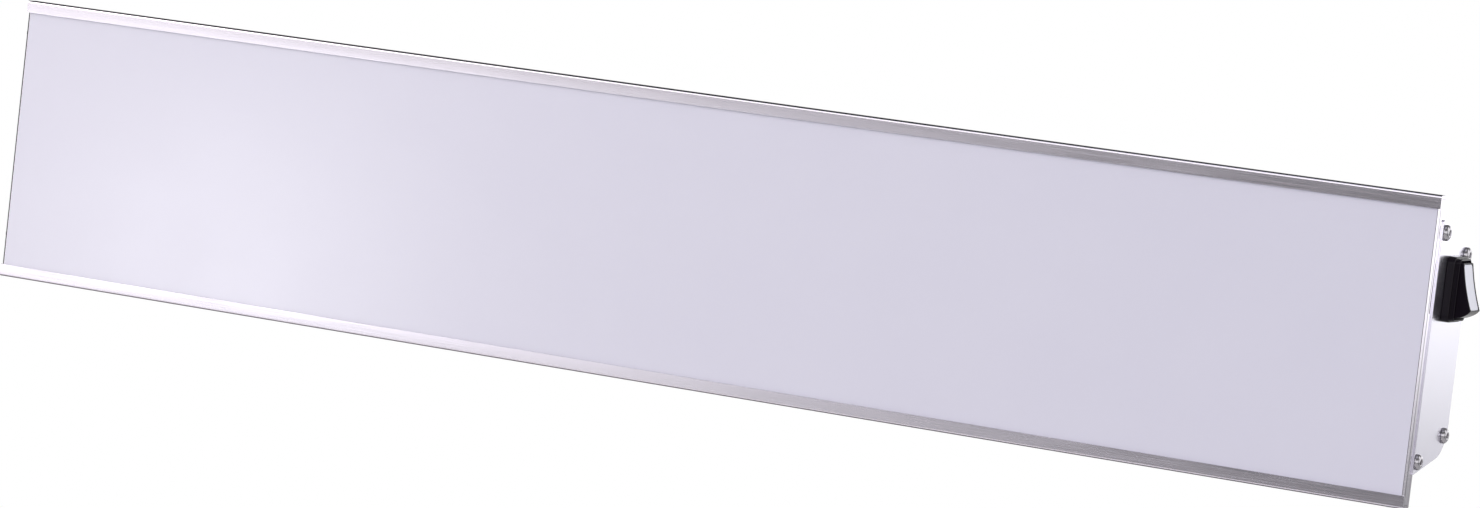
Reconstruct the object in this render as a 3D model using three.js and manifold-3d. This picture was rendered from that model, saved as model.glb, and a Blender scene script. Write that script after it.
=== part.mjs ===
// Infrared heater: an extruded aluminium housing behind a white glass-ceramic front panel.
// X runs along the heater, Y from front to back and Z up, in millimetres.
// The origin is the middle of the flat back, where the heater is held.
import * as THREE from 'three';
import { mergeVertices } from 'three/addons/utils/BufferGeometryUtils.js';
import Module from 'manifold-3d';

const wasm = await Module();
wasm.setup();

// Overall sizes
const bodyLength = 984;
const frameHeight = 183;
const housingDepth = 60.5;

// Clearances and cutting
const seatGap = 0.1; // between flat faces that are clamped together
const pieceGap = 0.3; // round a piece that sits in a cut-out
const cutOverrun = 3; // how far a cut runs past the face that it opens

// Facets of round shapes
const roundSides = 24;
const smallRoundSides = 16;
const cornerSteps = 3;
const bodyCornerSteps = 6;
const domeSteps = 4;

// Front frame of the housing, which holds the glass
const frameDrop = 3; // from the middle of the trough down to the middle of the frame
const lipHeight = 7.8;
const lipThickness = 1.4;
const frameWebThickness = 1.8;
const frameBackThickness = 2.4;
const frameEdgeRadius = 1.5;
const frameOverhang = 17.8; // beyond the trough's side, with both on one middle

// Glass panel and its seals
const glassThickness = 4;
const glassEdgeBevel = 0.5;
const glassCornerRadius = 2;
const gasketThickness = 2;
const gasketHeight = 6;
const gasketEdgeRadius = 0.7;

// Side bars at the ends of the glass
const sideBarThickness = 1.75;
const sideBarLegLength = 12;
const sideBarEdgeRadius = 1.2;

// Trough of the housing
const sideLeanDegrees = 11.3;
const wallThickness = 2;
const bodyCornerRadius = 20;

// Mounting slots in the back
const slotCornerInset = 9.23; // from the start of the trough's corner to the slot's middle
const slotMouthWidth = 8.4;
const slotLipThickness = 2;
const slotWidth = 14;
const slotDepth = 6;

// Ledges that carry the reflector
const ledgeThickness = 1.5;
const ledgeWidth = 4.5;

// End plates
const endPlateThickness = 1;
const endPlateFrontDepth = 6.6;
const endPlateCornerRadius = 1.5;

// End screws, M5 button heads in channels of the housing
const screwThreadRadius = 2.5;
const screwLength = 14;
const screwHeadRadius = 4.75;
const screwHeadHeight = 2.75;
const screwHeadTopRadius = 2.4;
const screwSocketAcross = 3;
const screwSocketDepth = 1.6;
const screwChannelWall = 1.8;
const screwChannelSlit = 2;
const frontScrewDepth = 11.4;
const frontScrewInset = 6.3; // from the trough's side to the middle of the screw
const rearScrewInset = 6.06; // from the trough's rounded corner
const rearScrewAngleDegrees = 26.27; // round the corner, from the depth's direction

// Reflector, two elliptical bays of bright sheet
const reflectorThickness = 0.8;
const reflectorLipDepth = 18;
const reflectorLipWidth = 8.2;
const bayRidgeHalfWidth = 1.4;
const baySteps = 14;

// Fibre board behind the reflector
const insulationThickness = 5.5;

// Quartz lamps
const lampRadius = 8;
const lampWall = 1.2;
const filamentWidth = 8;
const filamentThickness = 0.6;
const filamentTurns = 3;
const filamentSteps = 48;

// Ceramic lamp bases and the brackets that hold them
const baseSize = 22;
const baseLength = 30;
const baseSocketDepth = 14;
const baseEdgeRadius = 2;
const bracketThickness = 1.2;
const bracketFootLength = 12;
const bracketRim = 2; // round the lamp bases
const bracketCornerRadius = 4;
const leftCompartment = 85;
const rightCompartment = 62;

// Rocker switch on the right end plate
const switchBackInset = 27; // from the housing's back to the switch's middle
const switchSideInset = 39.7; // from the trough's upper side where it meets the frame
const switchFlangeWidth = 25;
const switchFlangeHeight = 38.5;
const switchFlangeThickness = 4.6;
const switchFlangeRadius = 4;
const switchFlangeBevel = 0.8;
const switchCollarThickness = 2.6;
const switchCollarWall = 1.1;
const switchCollarRadius = 3;
const switchBodyWall = 0.9;
const switchBodySideWall = 1.2;
const switchBodyLength = 22;
const switchClipLength = 8;
const switchClipThickness = 1.4;
const switchClipWidth = 9;

// Rocker, which tilts about a pivot across the switch
const rockerTiltDegrees = 15.5;
const rockerPivotOut = 4; // from the end plate's outer face
const rockerFaceOut = 9; // from the pivot to the ends of the outer face
const rockerHalfHeight = 14.2;
const rockerHalfWidth = 8.7;
const rockerDish = 0.8; // how far the outer face dips in its middle
const rockerDishSteps = 4;
const rockerSkirtIn = 3;
const rockerEdgeBevel = 0.6;
const rockerGap = 0.35;
const rockerFloorGap = 0.9;
const rockerFaceThickness = 1;
const rockerFaceInset = 0.3; // of the face plate, below the rim round it
const rockerFaceGap = 0.2; // round the face plate in its recess
const rockerSideRim = 1.2;
const rockerEndRim = 0.7;
const rockerFaceRadius = 2.2;
const trunnionRadius = 1.6;
const trunnionLength = 1.2;
const trunnionGap = 0.08;

// Switch terminals
const bladeWidth = 6.3;
const bladeThickness = 0.8;
const bladeLength = 8;
const bladeSpacing = 16;

// Terminal block beside the cable gland
const blockLength = 34;
const blockBaseHeight = 26;
const blockBaseThickness = 6;
const blockTowerThickness = 12;
const blockTowerWidth = 6.6;
const blockPoles = 3;
const blockEndGap = 16.5;
const poleBoreRadius = 1.7;
const poleScrewRadius = 1.6;
const poleScrewLength = 4;
const poleSlotWidth = 0.7;
const poleSlotDepth = 0.8;

// Cable gland on the left end plate
const glandBackInset = 17.5;
const glandHeightPlace = 0;
const glandThreadRadius = 10;
const glandBoreRadius = 6;
const glandThreadLength = 10;
const glandAcross = 24;
const glandHexThickness = 4;
const glandMouthLength = 9;
const glandMouthRadius = 8.6;
const glandCapAcross = 25;
const glandCapHexLength = 9;
const glandCapDomeLength = 7;
const glandCapTipRadius = 8;
const glandNutThickness = 4;
const glandSealBoreRadius = 4.7;
const glandSealLength = 8;

// Inner wires
const wireRadius = 1.3;
const wireSides = 8;
const wireSpacing = 8;
const wireBend = 14;
const longWireSteps = 40;
const shortWireSteps = 16;

// Values that follow from the sizes above
const endX = bodyLength / 2;
const plateOuterX = endX + seatGap + endPlateThickness;
const frameHalfHeight = frameHeight / 2;
const glassFrontDepth = lipThickness + seatGap;
const gasketFrontDepth = glassFrontDepth + glassThickness + seatGap;
const frameBackFrontDepth = gasketFrontDepth + gasketThickness + seatGap;
const frameDepth = frameBackFrontDepth + frameBackThickness;
const channelHalfHeight = frameHalfHeight - frameWebThickness;
const sideLean = THREE.MathUtils.degToRad(sideLeanDegrees);
const bodyHalfHeight = frameHalfHeight - frameOverhang;
const bodyCornerDepth = housingDepth - bodyCornerRadius;
const bodyCornerHeight = sideHeight(bodyCornerDepth, -bodyCornerRadius);
const backInnerDepth = housingDepth - wallThickness;
const slotHeight = bodyCornerHeight - slotCornerInset;
const hatHalfWidth = slotWidth / 2 + wallThickness;
const hatFrontDepth = housingDepth - slotLipThickness - slotDepth - wallThickness;
const screwBoreRadius = screwThreadRadius + pieceGap;
const screwChannelRadius = screwBoreRadius + screwChannelWall;
const frontScrewHeight = sideHeight(frontScrewDepth, -frontScrewInset);
const rearScrewAngle = THREE.MathUtils.degToRad(rearScrewAngleDegrees);
const rearScrewReach = bodyCornerRadius - rearScrewInset;
const rearScrewDepth = bodyCornerDepth + rearScrewReach * Math.cos(rearScrewAngle);
const rearScrewHeight = bodyCornerHeight + rearScrewReach * Math.sin(rearScrewAngle);
const reflectorLipBackDepth = reflectorLipDepth + reflectorThickness;
const reflectorLipEdge = sideHeight(reflectorLipBackDepth, -wallThickness) - pieceGap;
const insulationFrontDepth = hatFrontDepth - seatGap - insulationThickness;
const bayDepth = insulationFrontDepth - seatGap - reflectorThickness - reflectorLipDepth;
const bayHalfWidth = (reflectorLipEdge - reflectorLipWidth - bayRidgeHalfWidth) / 2;
const lampDepth = reflectorLipDepth + bayDepth / 2;
const lampHeight = bayRidgeHalfWidth + bayHalfWidth;
const leftBracketX = leftCompartment - endX;
const rightBracketX = endX - rightCompartment;
const baseReach = (baseLength - bracketThickness) / 2;
const hatsHalfHeight = slotHeight + hatHalfWidth;
const rockerTilt = THREE.MathUtils.degToRad(rockerTiltDegrees);
const rockerSweepRadius = Math.hypot(rockerFaceOut, rockerHalfHeight);
const rockerDishRadius = (rockerHalfHeight ** 2 + rockerDish ** 2) / (2 * rockerDish);
const rockerDishCentre = rockerFaceOut - rockerDish + rockerDishRadius;
const rockerDishAngle = Math.asin(rockerHalfHeight / rockerDishRadius);
const pocketHalfHeight = rockerSweepRadius + rockerGap;
const pocketHalfWidth = rockerHalfWidth + rockerGap;
const switchBodyHalfHeight = pocketHalfHeight + switchBodyWall;
const switchBodyHalfWidth = pocketHalfWidth + switchBodySideWall;
const switchInnerX = plateOuterX - switchBodyLength;
const switchDepthPlace = housingDepth - switchBackInset;
const switchHeightPlace = bodyHalfHeight - switchSideInset;
const glandDepthPlace = housingDepth - glandBackInset;
const blockLeftX = blockEndGap - endX;
const blockRightX = blockLeftX + blockLength;
const poleSpacing = blockBaseHeight / blockPoles;
const poleDepth = backInnerDepth - seatGap - blockBaseThickness - blockTowerThickness / 2;

// Points of the section, given as depth behind the front face and height
const screwPlaces = [
  [frontScrewDepth, frontScrewHeight],
  [rearScrewDepth, rearScrewHeight],
  [rearScrewDepth, -rearScrewHeight],
  [frontScrewDepth, -frontScrewHeight],
];

// Solids from geometries and back again
function toSolid(geometry) {
  const bare = geometry.clone();
  bare.deleteAttribute('normal');
  bare.deleteAttribute('uv');
  const merged = mergeVertices(bare);
  const triVerts = new Uint32Array(merged.index.array);
  const vertProperties = new Float32Array(merged.attributes.position.array);
  return new wasm.Manifold(new wasm.Mesh({ numProp: 3, vertProperties, triVerts }));
}

function toGeometry(solid) {
  const mesh = solid.getMesh();
  const geometry = new THREE.BufferGeometry();
  geometry.setAttribute('position', new THREE.BufferAttribute(mesh.vertProperties, 3));
  geometry.setIndex(new THREE.BufferAttribute(mesh.triVerts, 1));
  const facets = geometry.toNonIndexed();
  facets.computeVertexNormals();
  return facets;
}

function joined(...geometries) {
  return toGeometry(geometries.map(toSolid).reduce((sum, solid) => sum.add(solid)));
}

function cut(base, ...tools) {
  return toGeometry(tools.map(toSolid).reduce((rest, tool) => rest.subtract(tool), toSolid(base)));
}

function common(first, second) {
  return toGeometry(toSolid(first).intersect(toSolid(second)));
}

// Extrusions between two places along each axis
const depthHeightBasis = new THREE.Matrix4().makeBasis(
  new THREE.Vector3(0, 1, 0),
  new THREE.Vector3(0, 0, 1),
  new THREE.Vector3(1, 0, 0),
);
const lengthHeightBasis = new THREE.Matrix4().makeBasis(
  new THREE.Vector3(1, 0, 0),
  new THREE.Vector3(0, 0, 1),
  new THREE.Vector3(0, -1, 0),
);

function extruded(shape, length, steps, bevel) {
  return new THREE.ExtrudeGeometry(shape, {
    depth: length - 2 * bevel,
    curveSegments: steps,
    bevelEnabled: bevel > 0,
    bevelSize: bevel,
    bevelOffset: -bevel,
    bevelThickness: bevel,
    bevelSegments: 2,
  }).translate(0, 0, bevel);
}

// A shape of depth and height, drawn out along X
function alongX(shape, startX, finishX, steps = cornerSteps, bevel = 0) {
  const geometry = extruded(shape, finishX - startX, steps, bevel);
  return geometry.applyMatrix4(depthHeightBasis).translate(startX, 0, 0);
}

// A shape of length and height, drawn out from front to back
function alongDepth(shape, frontDepth, backDepth, steps = cornerSteps, bevel = 0) {
  const geometry = extruded(shape, backDepth - frontDepth, steps, bevel);
  return geometry.applyMatrix4(lengthHeightBasis).translate(0, backDepth, 0);
}

// A shape of length and depth, drawn upwards
function alongHeight(shape, bottom, top) {
  return extruded(shape, top - bottom, cornerSteps, 0).translate(0, 0, bottom);
}

// A turned piece whose profile is given as [radius, distance out along X]
function turned(profile, sides = roundSides) {
  const points = profile.map(([radius, out]) => new THREE.Vector2(radius, out));
  return new THREE.LatheGeometry(points, sides).rotateZ(-Math.PI / 2);
}

// A cylinder or regular prism along X
function rod(radius, startX, finishX, sides = roundSides) {
  const geometry = new THREE.CylinderGeometry(radius, radius, finishX - startX, sides);
  return geometry.rotateZ(-Math.PI / 2).translate((startX + finishX) / 2, 0, 0);
}

function hexagon(across, startX, finishX) {
  return rod(across / Math.sqrt(3), startX, finishX, 6);
}

// Flat outlines
function outline(points) {
  return new THREE.Shape(points.map(([first, second]) => new THREE.Vector2(first, second)));
}

function rectangle(low, high) {
  return outline([low, [high[0], low[1]], high, [low[0], high[1]]]);
}

function roundedRectangle(halfWidth, halfHeight, radius, centre = [0, 0]) {
  const [middle, level] = centre;
  const shape = new THREE.Shape();
  const right = middle + halfWidth - radius;
  const left = middle - halfWidth + radius;
  const top = level + halfHeight - radius;
  const bottom = level - halfHeight + radius;
  shape.absarc(right, top, radius, 0, Math.PI / 2);
  shape.absarc(left, top, radius, Math.PI / 2, Math.PI);
  shape.absarc(left, bottom, radius, Math.PI, 1.5 * Math.PI);
  shape.absarc(right, bottom, radius, 1.5 * Math.PI, 2 * Math.PI);
  shape.closePath();
  return shape;
}

function disc([depth, height], radius, sides = smallRoundSides) {
  const corners = Array.from({ length: sides }, (_, index) => {
    const angle = (index / sides) * 2 * Math.PI;
    return [depth + radius * Math.cos(angle), height + radius * Math.sin(angle)];
  });
  return outline(corners);
}

// Height of the trough's sloping side at a depth, grown outwards by an offset
function sideHeight(depth, offset) {
  const atFrame = bodyHalfHeight + offset / Math.cos(sideLean);
  return atFrame - Math.tan(sideLean) * (depth - frameDepth);
}

// Outline of the trough, grown outwards by an offset and cut off square at a front depth
function bodyOutline(offset, frontDepth) {
  const radius = bodyCornerRadius + offset;
  const sideAngle = Math.PI / 2 - sideLean;
  const shape = new THREE.Shape();
  shape.moveTo(frontDepth, -sideHeight(frontDepth, offset));
  shape.lineTo(frontDepth, sideHeight(frontDepth, offset));
  shape.absarc(bodyCornerDepth, bodyCornerHeight, radius, sideAngle, 0, true);
  shape.absarc(bodyCornerDepth, -bodyCornerHeight, radius, 0, -sideAngle, true);
  shape.closePath();
  return shape;
}

// One channel of the front frame: lip, web and back, with rounded outer edges
function frameChannel(side) {
  const radius = frameEdgeRadius;
  const top = frameHalfHeight - side * frameDrop;
  const web = top - frameWebThickness;
  const lipEdge = top - lipHeight;
  const root = sideHeight(frameDepth, -wallThickness);
  const shape = new THREE.Shape();
  shape.moveTo(0, lipEdge);
  shape.lineTo(lipThickness, lipEdge);
  shape.lineTo(lipThickness, web);
  shape.lineTo(frameBackFrontDepth, web);
  shape.lineTo(frameBackFrontDepth, root);
  shape.lineTo(frameDepth, root);
  shape.absarc(frameDepth - radius, top - radius, radius, 0, Math.PI / 2);
  shape.absarc(radius, top - radius, radius, Math.PI / 2, Math.PI);
  shape.closePath();
  const points = shape.getPoints(cornerSteps).map((point) => [point.x, side * point.y]);
  return outline(points);
}

// The slit that opens a screw channel towards the middle of the section
function channelSlit([depth, height]) {
  const reach = 2 * screwChannelRadius;
  const angle = Math.atan2(-height, housingDepth / 2 - depth);
  const slit = rectangle([0, -screwChannelSlit / 2], [reach, screwChannelSlit / 2]);
  const geometry = extruded(slit, bodyLength + 2 * cutOverrun, 1, 0).rotateZ(angle);
  geometry.translate(depth, height, 0);
  return geometry.applyMatrix4(depthHeightBasis).translate(-endX - cutOverrun, 0, 0);
}

// Housing, one aluminium extrusion
function housingGeometry() {
  const full = (shape, steps) => alongX(shape, -endX, endX, steps);
  const through = (shape, steps) => alongX(shape, -endX - cutOverrun, endX + cutOverrun, steps);
  const outer = full(bodyOutline(0, frameBackFrontDepth), bodyCornerSteps);
  const inner = through(bodyOutline(-wallThickness, -cutOverrun), bodyCornerSteps);
  const ribs = [];
  const cuts = [];
  for (const place of screwPlaces) {
    ribs.push(full(disc(place, screwChannelRadius)));
    cuts.push(through(disc(place, screwBoreRadius)));
    cuts.push(channelSlit(place));
  }
  for (const height of [slotHeight, -slotHeight]) {
    const slotBack = housingDepth - slotLipThickness;
    const hatLow = [hatFrontDepth, height - hatHalfWidth];
    const hatHigh = [housingDepth, height + hatHalfWidth];
    ribs.push(full(rectangle(hatLow, hatHigh)));
    const slotLow = [slotBack - slotDepth, height - slotWidth / 2];
    const slotHigh = [slotBack, height + slotWidth / 2];
    cuts.push(through(rectangle(slotLow, slotHigh)));
    const mouthLow = [slotBack - cutOverrun, height - slotMouthWidth / 2];
    const mouthHigh = [housingDepth + cutOverrun, height + slotMouthWidth / 2];
    cuts.push(through(rectangle(mouthLow, mouthHigh)));
  }
  const ledgeFront = reflectorLipBackDepth + seatGap;
  const wallInside = sideHeight(ledgeFront, -wallThickness);
  for (const side of [1, -1]) {
    const tip = side * (wallInside - ledgeWidth);
    const root = side * (wallInside + wallThickness / 2);
    const low = [ledgeFront, Math.min(tip, root)];
    const high = [ledgeFront + ledgeThickness, Math.max(tip, root)];
    ribs.push(full(rectangle(low, high)));
  }
  const glassLow = [-cutOverrun, -frameDrop - channelHalfHeight];
  const glassHigh = [frameBackFrontDepth, channelHalfHeight - frameDrop];
  cuts.push(through(rectangle(glassLow, glassHigh)));
  const ribbed = joined(cut(outer, inner), common(joined(...ribs), outer));
  const trough = cut(ribbed, ...cuts);
  return joined(trough, full(frameChannel(1)), full(frameChannel(-1)));
}

// Glass-ceramic panel with ground edges
function glassGeometry() {
  const halfLength = endX - sideBarThickness - pieceGap;
  const halfHeight = channelHalfHeight - pieceGap;
  const shape = roundedRectangle(halfLength, halfHeight, glassCornerRadius, [0, -frameDrop]);
  const backDepth = glassFrontDepth + glassThickness;
  return alongDepth(shape, glassFrontDepth, backDepth, cornerSteps, glassEdgeBevel);
}

// Seal strip between the glass and the back of its channel
function gasketGeometry(side) {
  const level = side * (channelHalfHeight - pieceGap - gasketHeight / 2) - frameDrop;
  const middle = gasketFrontDepth + gasketThickness / 2;
  const halfLength = endX - sideBarLegLength - pieceGap;
  const section = roundedRectangle(
    gasketThickness / 2,
    gasketHeight / 2,
    gasketEdgeRadius,
    [middle, level],
  );
  return alongX(section, -halfLength, halfLength);
}

// Angle bar that closes the end of the glass and stands behind its edge
function sideBarGeometry(side) {
  const inside = endX - sideBarThickness;
  const legEnd = endX - sideBarLegLength;
  const backDepth = gasketFrontDepth + gasketThickness;
  const halfHeight = channelHalfHeight - pieceGap;
  const radius = sideBarEdgeRadius;
  const shape = new THREE.Shape();
  shape.moveTo(inside, glassFrontDepth);
  shape.lineTo(inside, gasketFrontDepth);
  shape.lineTo(legEnd, gasketFrontDepth);
  shape.lineTo(legEnd, backDepth);
  shape.lineTo(endX, backDepth);
  shape.absarc(endX - radius, glassFrontDepth + radius, radius, 0, -Math.PI / 2, true);
  shape.closePath();
  const section = outline(shape.getPoints(cornerSteps).map((point) => [side * point.x, point.y]));
  return alongHeight(section, -frameDrop - halfHeight, halfHeight - frameDrop);
}

// End plate blank with its screw holes, before the hole for the switch or the gland
function endPlateBlank(side) {
  const near = side * (endX + seatGap);
  const far = side * plateOuterX;
  const startX = Math.min(near, far);
  const finishX = Math.max(near, far);
  const cornerCut = endPlateCornerRadius;
  const shape = bodyOutline(0, endPlateFrontDepth);
  const plate = alongX(shape, startX, finishX, bodyCornerSteps);
  const frontCorner = sideHeight(endPlateFrontDepth, 0);
  const corners = [1, -1].map((end) => {
    const tip = end * frontCorner;
    const triangle = outline([
      [endPlateFrontDepth - cutOverrun, tip - end * (cornerCut + cutOverrun)],
      [endPlateFrontDepth - cutOverrun, tip + end * cutOverrun],
      [endPlateFrontDepth + cornerCut + cutOverrun, tip + end * cutOverrun],
    ]);
    return alongX(triangle, startX - cutOverrun, finishX + cutOverrun);
  });
  const holes = screwPlaces.map((place) =>
    alongX(disc(place, screwBoreRadius), startX - cutOverrun, finishX + cutOverrun));
  return cut(plate, ...corners, ...holes);
}

function rightEndPlateGeometry() {
  const opening = roundedRectangle(
    switchBodyHalfWidth + pieceGap,
    switchBodyHalfHeight + pieceGap,
    switchCollarRadius,
    [switchDepthPlace, switchHeightPlace],
  );
  return cut(endPlateBlank(1), alongX(opening, endX - cutOverrun, plateOuterX + cutOverrun));
}

function leftEndPlateGeometry() {
  const hole = disc([glandDepthPlace, glandHeightPlace], glandThreadRadius + pieceGap, roundSides);
  return cut(endPlateBlank(-1), alongX(hole, -plateOuterX - cutOverrun, cutOverrun - endX));
}

// Button-head screw pointing inwards, with its head's seat at X = 0
function endScrewGeometry() {
  const dome = [];
  for (let step = 0; step <= domeSteps; step += 1) {
    const angle = (step / domeSteps) * (Math.PI / 2);
    const spread = screwHeadRadius - screwHeadTopRadius;
    dome.push([screwHeadTopRadius + spread * Math.cos(angle), screwHeadHeight * Math.sin(angle)]);
  }
  const profile = [
    [0, -screwLength],
    [screwThreadRadius * Math.SQRT1_2, -screwLength],
    [screwThreadRadius, screwThreadRadius * (1 - Math.SQRT1_2) - screwLength],
    [screwThreadRadius, 0],
    ...dome,
    [0, screwHeadHeight],
  ];
  const socketFloor = screwHeadHeight - screwSocketDepth;
  const socket = hexagon(screwSocketAcross, socketFloor, screwHeadHeight + cutOverrun);
  return cut(turned(profile), socket);
}

// Half of an elliptical bay's curve, as points from its outer edge to the ridge
function bayCurve(side, grow) {
  const points = [];
  for (let step = 0; step <= baySteps; step += 1) {
    const angle = (step / baySteps) * Math.PI;
    const depth = reflectorLipDepth + (bayDepth + grow) * Math.sin(angle);
    const height = lampHeight + (bayHalfWidth + grow) * Math.cos(angle);
    points.push([depth, side * height]);
  }
  return points;
}

// Reflector sheet: two bays, a ridge between them and a lip along each long side
function reflectorGeometry() {
  const halfLip = [
    [reflectorLipDepth, -reflectorLipEdge],
    [reflectorLipDepth, reflectorLipEdge],
    [reflectorLipBackDepth, reflectorLipEdge],
    [reflectorLipBackDepth, -reflectorLipEdge],
  ];
  const startX = leftBracketX + bracketThickness + seatGap;
  const finishX = rightBracketX - bracketThickness - seatGap;
  const sheet = alongX(outline(halfLip), startX, finishX);
  const shells = [1, -1].map((side) =>
    alongX(outline(bayCurve(side, reflectorThickness)), startX, finishX));
  const hollows = [1, -1].map((side) => {
    const curve = bayCurve(side, 0);
    const mouth = [
      [reflectorLipDepth - cutOverrun, curve[baySteps][1]],
      [reflectorLipDepth - cutOverrun, curve[0][1]],
    ];
    return alongX(outline([...curve, ...mouth]), startX - cutOverrun, finishX + cutOverrun);
  });
  return cut(joined(sheet, ...shells), ...hollows);
}

// Fibre board behind the reflector, lying on the walls of the mounting slots
function insulationGeometry() {
  const low = [insulationFrontDepth, -hatsHalfHeight];
  const high = [hatFrontDepth - seatGap, hatsHalfHeight];
  const startX = leftBracketX + bracketFootLength + pieceGap;
  const finishX = rightBracketX - bracketFootLength - pieceGap;
  return alongX(rectangle(low, high), startX, finishX);
}

// Bracket across the trough that holds the lamp bases, with a neck and foot on the slot walls
function bracketGeometry(inward) {
  const footDepth = hatFrontDepth - seatGap;
  const halfDepth = baseSize / 2 + bracketRim;
  const place = inward > 0 ? leftBracketX : rightBracketX;
  const span = (reach) => {
    const end = place + inward * reach;
    return [Math.min(place, end), Math.max(place, end)];
  };
  const [plateStart, plateFinish] = span(bracketThickness);
  const [footStart, footFinish] = span(bracketFootLength);
  const halfHeight = lampHeight + halfDepth;
  const face = roundedRectangle(halfDepth, halfHeight, bracketCornerRadius, [lampDepth, 0]);
  const footHalfHeight = slotHeight + slotMouthWidth / 2;
  const neck = rectangle([lampDepth, -footHalfHeight], [footDepth, footHalfHeight]);
  const foot = rectangle([footDepth - bracketThickness, -footHalfHeight], [footDepth, footHalfHeight]);
  const windows = [1, -1].map((side) => {
    const half = baseSize / 2 + pieceGap;
    const window = roundedRectangle(half, half, baseEdgeRadius, [lampDepth, side * lampHeight]);
    return alongX(window, plateStart - cutOverrun, plateFinish + cutOverrun);
  });
  const plate = joined(alongX(face, plateStart, plateFinish), alongX(neck, plateStart, plateFinish));
  return cut(joined(plate, alongX(foot, footStart, footFinish)), ...windows);
}

// Ceramic base with a blind socket for the end of the quartz tube, open towards +X
function lampBaseGeometry() {
  const block = alongX(roundedRectangle(baseSize / 2, baseSize / 2, baseEdgeRadius), 0, baseLength);
  const socketStart = baseLength - baseSocketDepth;
  return cut(block, rod(lampRadius + pieceGap, socketStart, baseLength + cutOverrun));
}

function lampTubeGeometry(length) {
  const inner = lampRadius - lampWall;
  return turned([[inner, 0], [lampRadius, 0], [lampRadius, length], [inner, length], [inner, 0]]);
}

// Carbon ribbon, twisted evenly along its length
function filamentGeometry(length) {
  const halfWidth = filamentWidth / 2;
  const halfThickness = filamentThickness / 2;
  const section = rectangle([-halfWidth, -halfThickness], [halfWidth, halfThickness]);
  const geometry = new THREE.ExtrudeGeometry(section, {
    depth: length,
    steps: filamentSteps,
    bevelEnabled: false,
  });
  const position = geometry.attributes.position;
  for (let index = 0; index < position.count; index += 1) {
    const point = new THREE.Vector3().fromBufferAttribute(position, index);
    const angle = (point.z / length) * filamentTurns * 2 * Math.PI;
    point.applyAxisAngle(new THREE.Vector3(0, 0, 1), angle);
    position.setXYZ(index, point.x, point.y, point.z);
  }
  return geometry.applyMatrix4(depthHeightBasis);
}

// Housing of the switch, from the end plate's outer face at X = 0
function switchHousingGeometry() {
  const collarTop = switchFlangeThickness + switchCollarThickness;
  const flangeShape = roundedRectangle(switchFlangeWidth / 2, switchFlangeHeight / 2, switchFlangeRadius);
  const flange = alongX(flangeShape, seatGap, switchFlangeThickness, cornerSteps, switchFlangeBevel);
  const collarShape = roundedRectangle(
    pocketHalfWidth + switchCollarWall,
    pocketHalfHeight + switchCollarWall,
    switchCollarRadius,
  );
  const collar = alongX(collarShape, switchFlangeThickness / 2, collarTop);
  const bodyShape = roundedRectangle(switchBodyHalfWidth, switchBodyHalfHeight, switchCollarRadius);
  const body = alongX(bodyShape, -switchBodyLength, switchFlangeThickness / 2);
  const floor = rockerPivotOut - rockerSweepRadius * Math.sin(rockerSkirtAngle()) - rockerFloorGap;
  const pocketShape = rectangle([-pocketHalfWidth, -pocketHalfHeight], [pocketHalfWidth, pocketHalfHeight]);
  const pocket = alongX(pocketShape, floor, collarTop + cutOverrun);
  const pivotReach = pocketHalfWidth + trunnionLength;
  const pivotHole = new THREE.CylinderGeometry(
    trunnionRadius + trunnionGap,
    trunnionRadius + trunnionGap,
    2 * pivotReach,
    roundSides,
  ).translate(rockerPivotOut, 0, 0);
  return cut(joined(flange, collar, body, ...switchClips()), pocket, pivotHole);
}

// Greatest angle below the pivot that the rocker's skirt reaches when it is tilted
function rockerSkirtAngle() {
  return Math.asin(rockerSkirtIn / rockerSweepRadius) + rockerTilt;
}

// Wedge-shaped snap clips that hold the switch behind the end plate
function switchClips() {
  const plateBack = -endPlateThickness - seatGap - pieceGap;
  return [1, -1].map((side) => {
    const root = side * (switchBodyHalfHeight - switchBodyWall / 2);
    const face = side * (switchBodyHalfHeight + switchClipThickness);
    const wedge = outline([
      [plateBack, root],
      [plateBack, face],
      [plateBack - switchClipLength, side * switchBodyHalfHeight],
      [plateBack - switchClipLength, root],
    ]);
    return alongDepth(wedge, -switchClipWidth / 2, switchClipWidth / 2);
  });
}

// Rocker about its pivot at the origin, with its dished outer face towards +X
function rockerGeometry() {
  const faceAngle = Math.atan2(rockerHalfHeight, rockerFaceOut);
  const skirtAngle = Math.PI / 2 + Math.asin(rockerSkirtIn / rockerSweepRadius);
  const low = Math.PI + rockerDishAngle;
  const high = Math.PI - rockerDishAngle;
  const shape = new THREE.Shape();
  shape.absarc(0, 0, rockerSweepRadius, faceAngle, skirtAngle);
  shape.absarc(0, 0, rockerSweepRadius, -skirtAngle, -faceAngle);
  shape.absarc(rockerDishCentre, 0, rockerDishRadius, low, high, true);
  shape.closePath();
  const body = alongDepth(shape, -rockerHalfWidth, rockerHalfWidth, rockerDishSteps, rockerEdgeBevel);
  const trunnionReach = pocketHalfWidth + trunnionLength - trunnionGap;
  const trunnions = new THREE.CylinderGeometry(
    trunnionRadius,
    trunnionRadius,
    2 * trunnionReach,
    roundSides,
  );
  const recess = dishedSheet(rockerFaceGap, -rockerDish, rockerFaceInset + rockerFaceThickness + seatGap);
  return cut(joined(body, trunnions), recess);
}

// Light face plate that lies in the recess of the rocker's dished face
function rockerFaceGeometry() {
  return dishedSheet(0, rockerFaceInset, rockerFaceInset + rockerFaceThickness);
}

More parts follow.
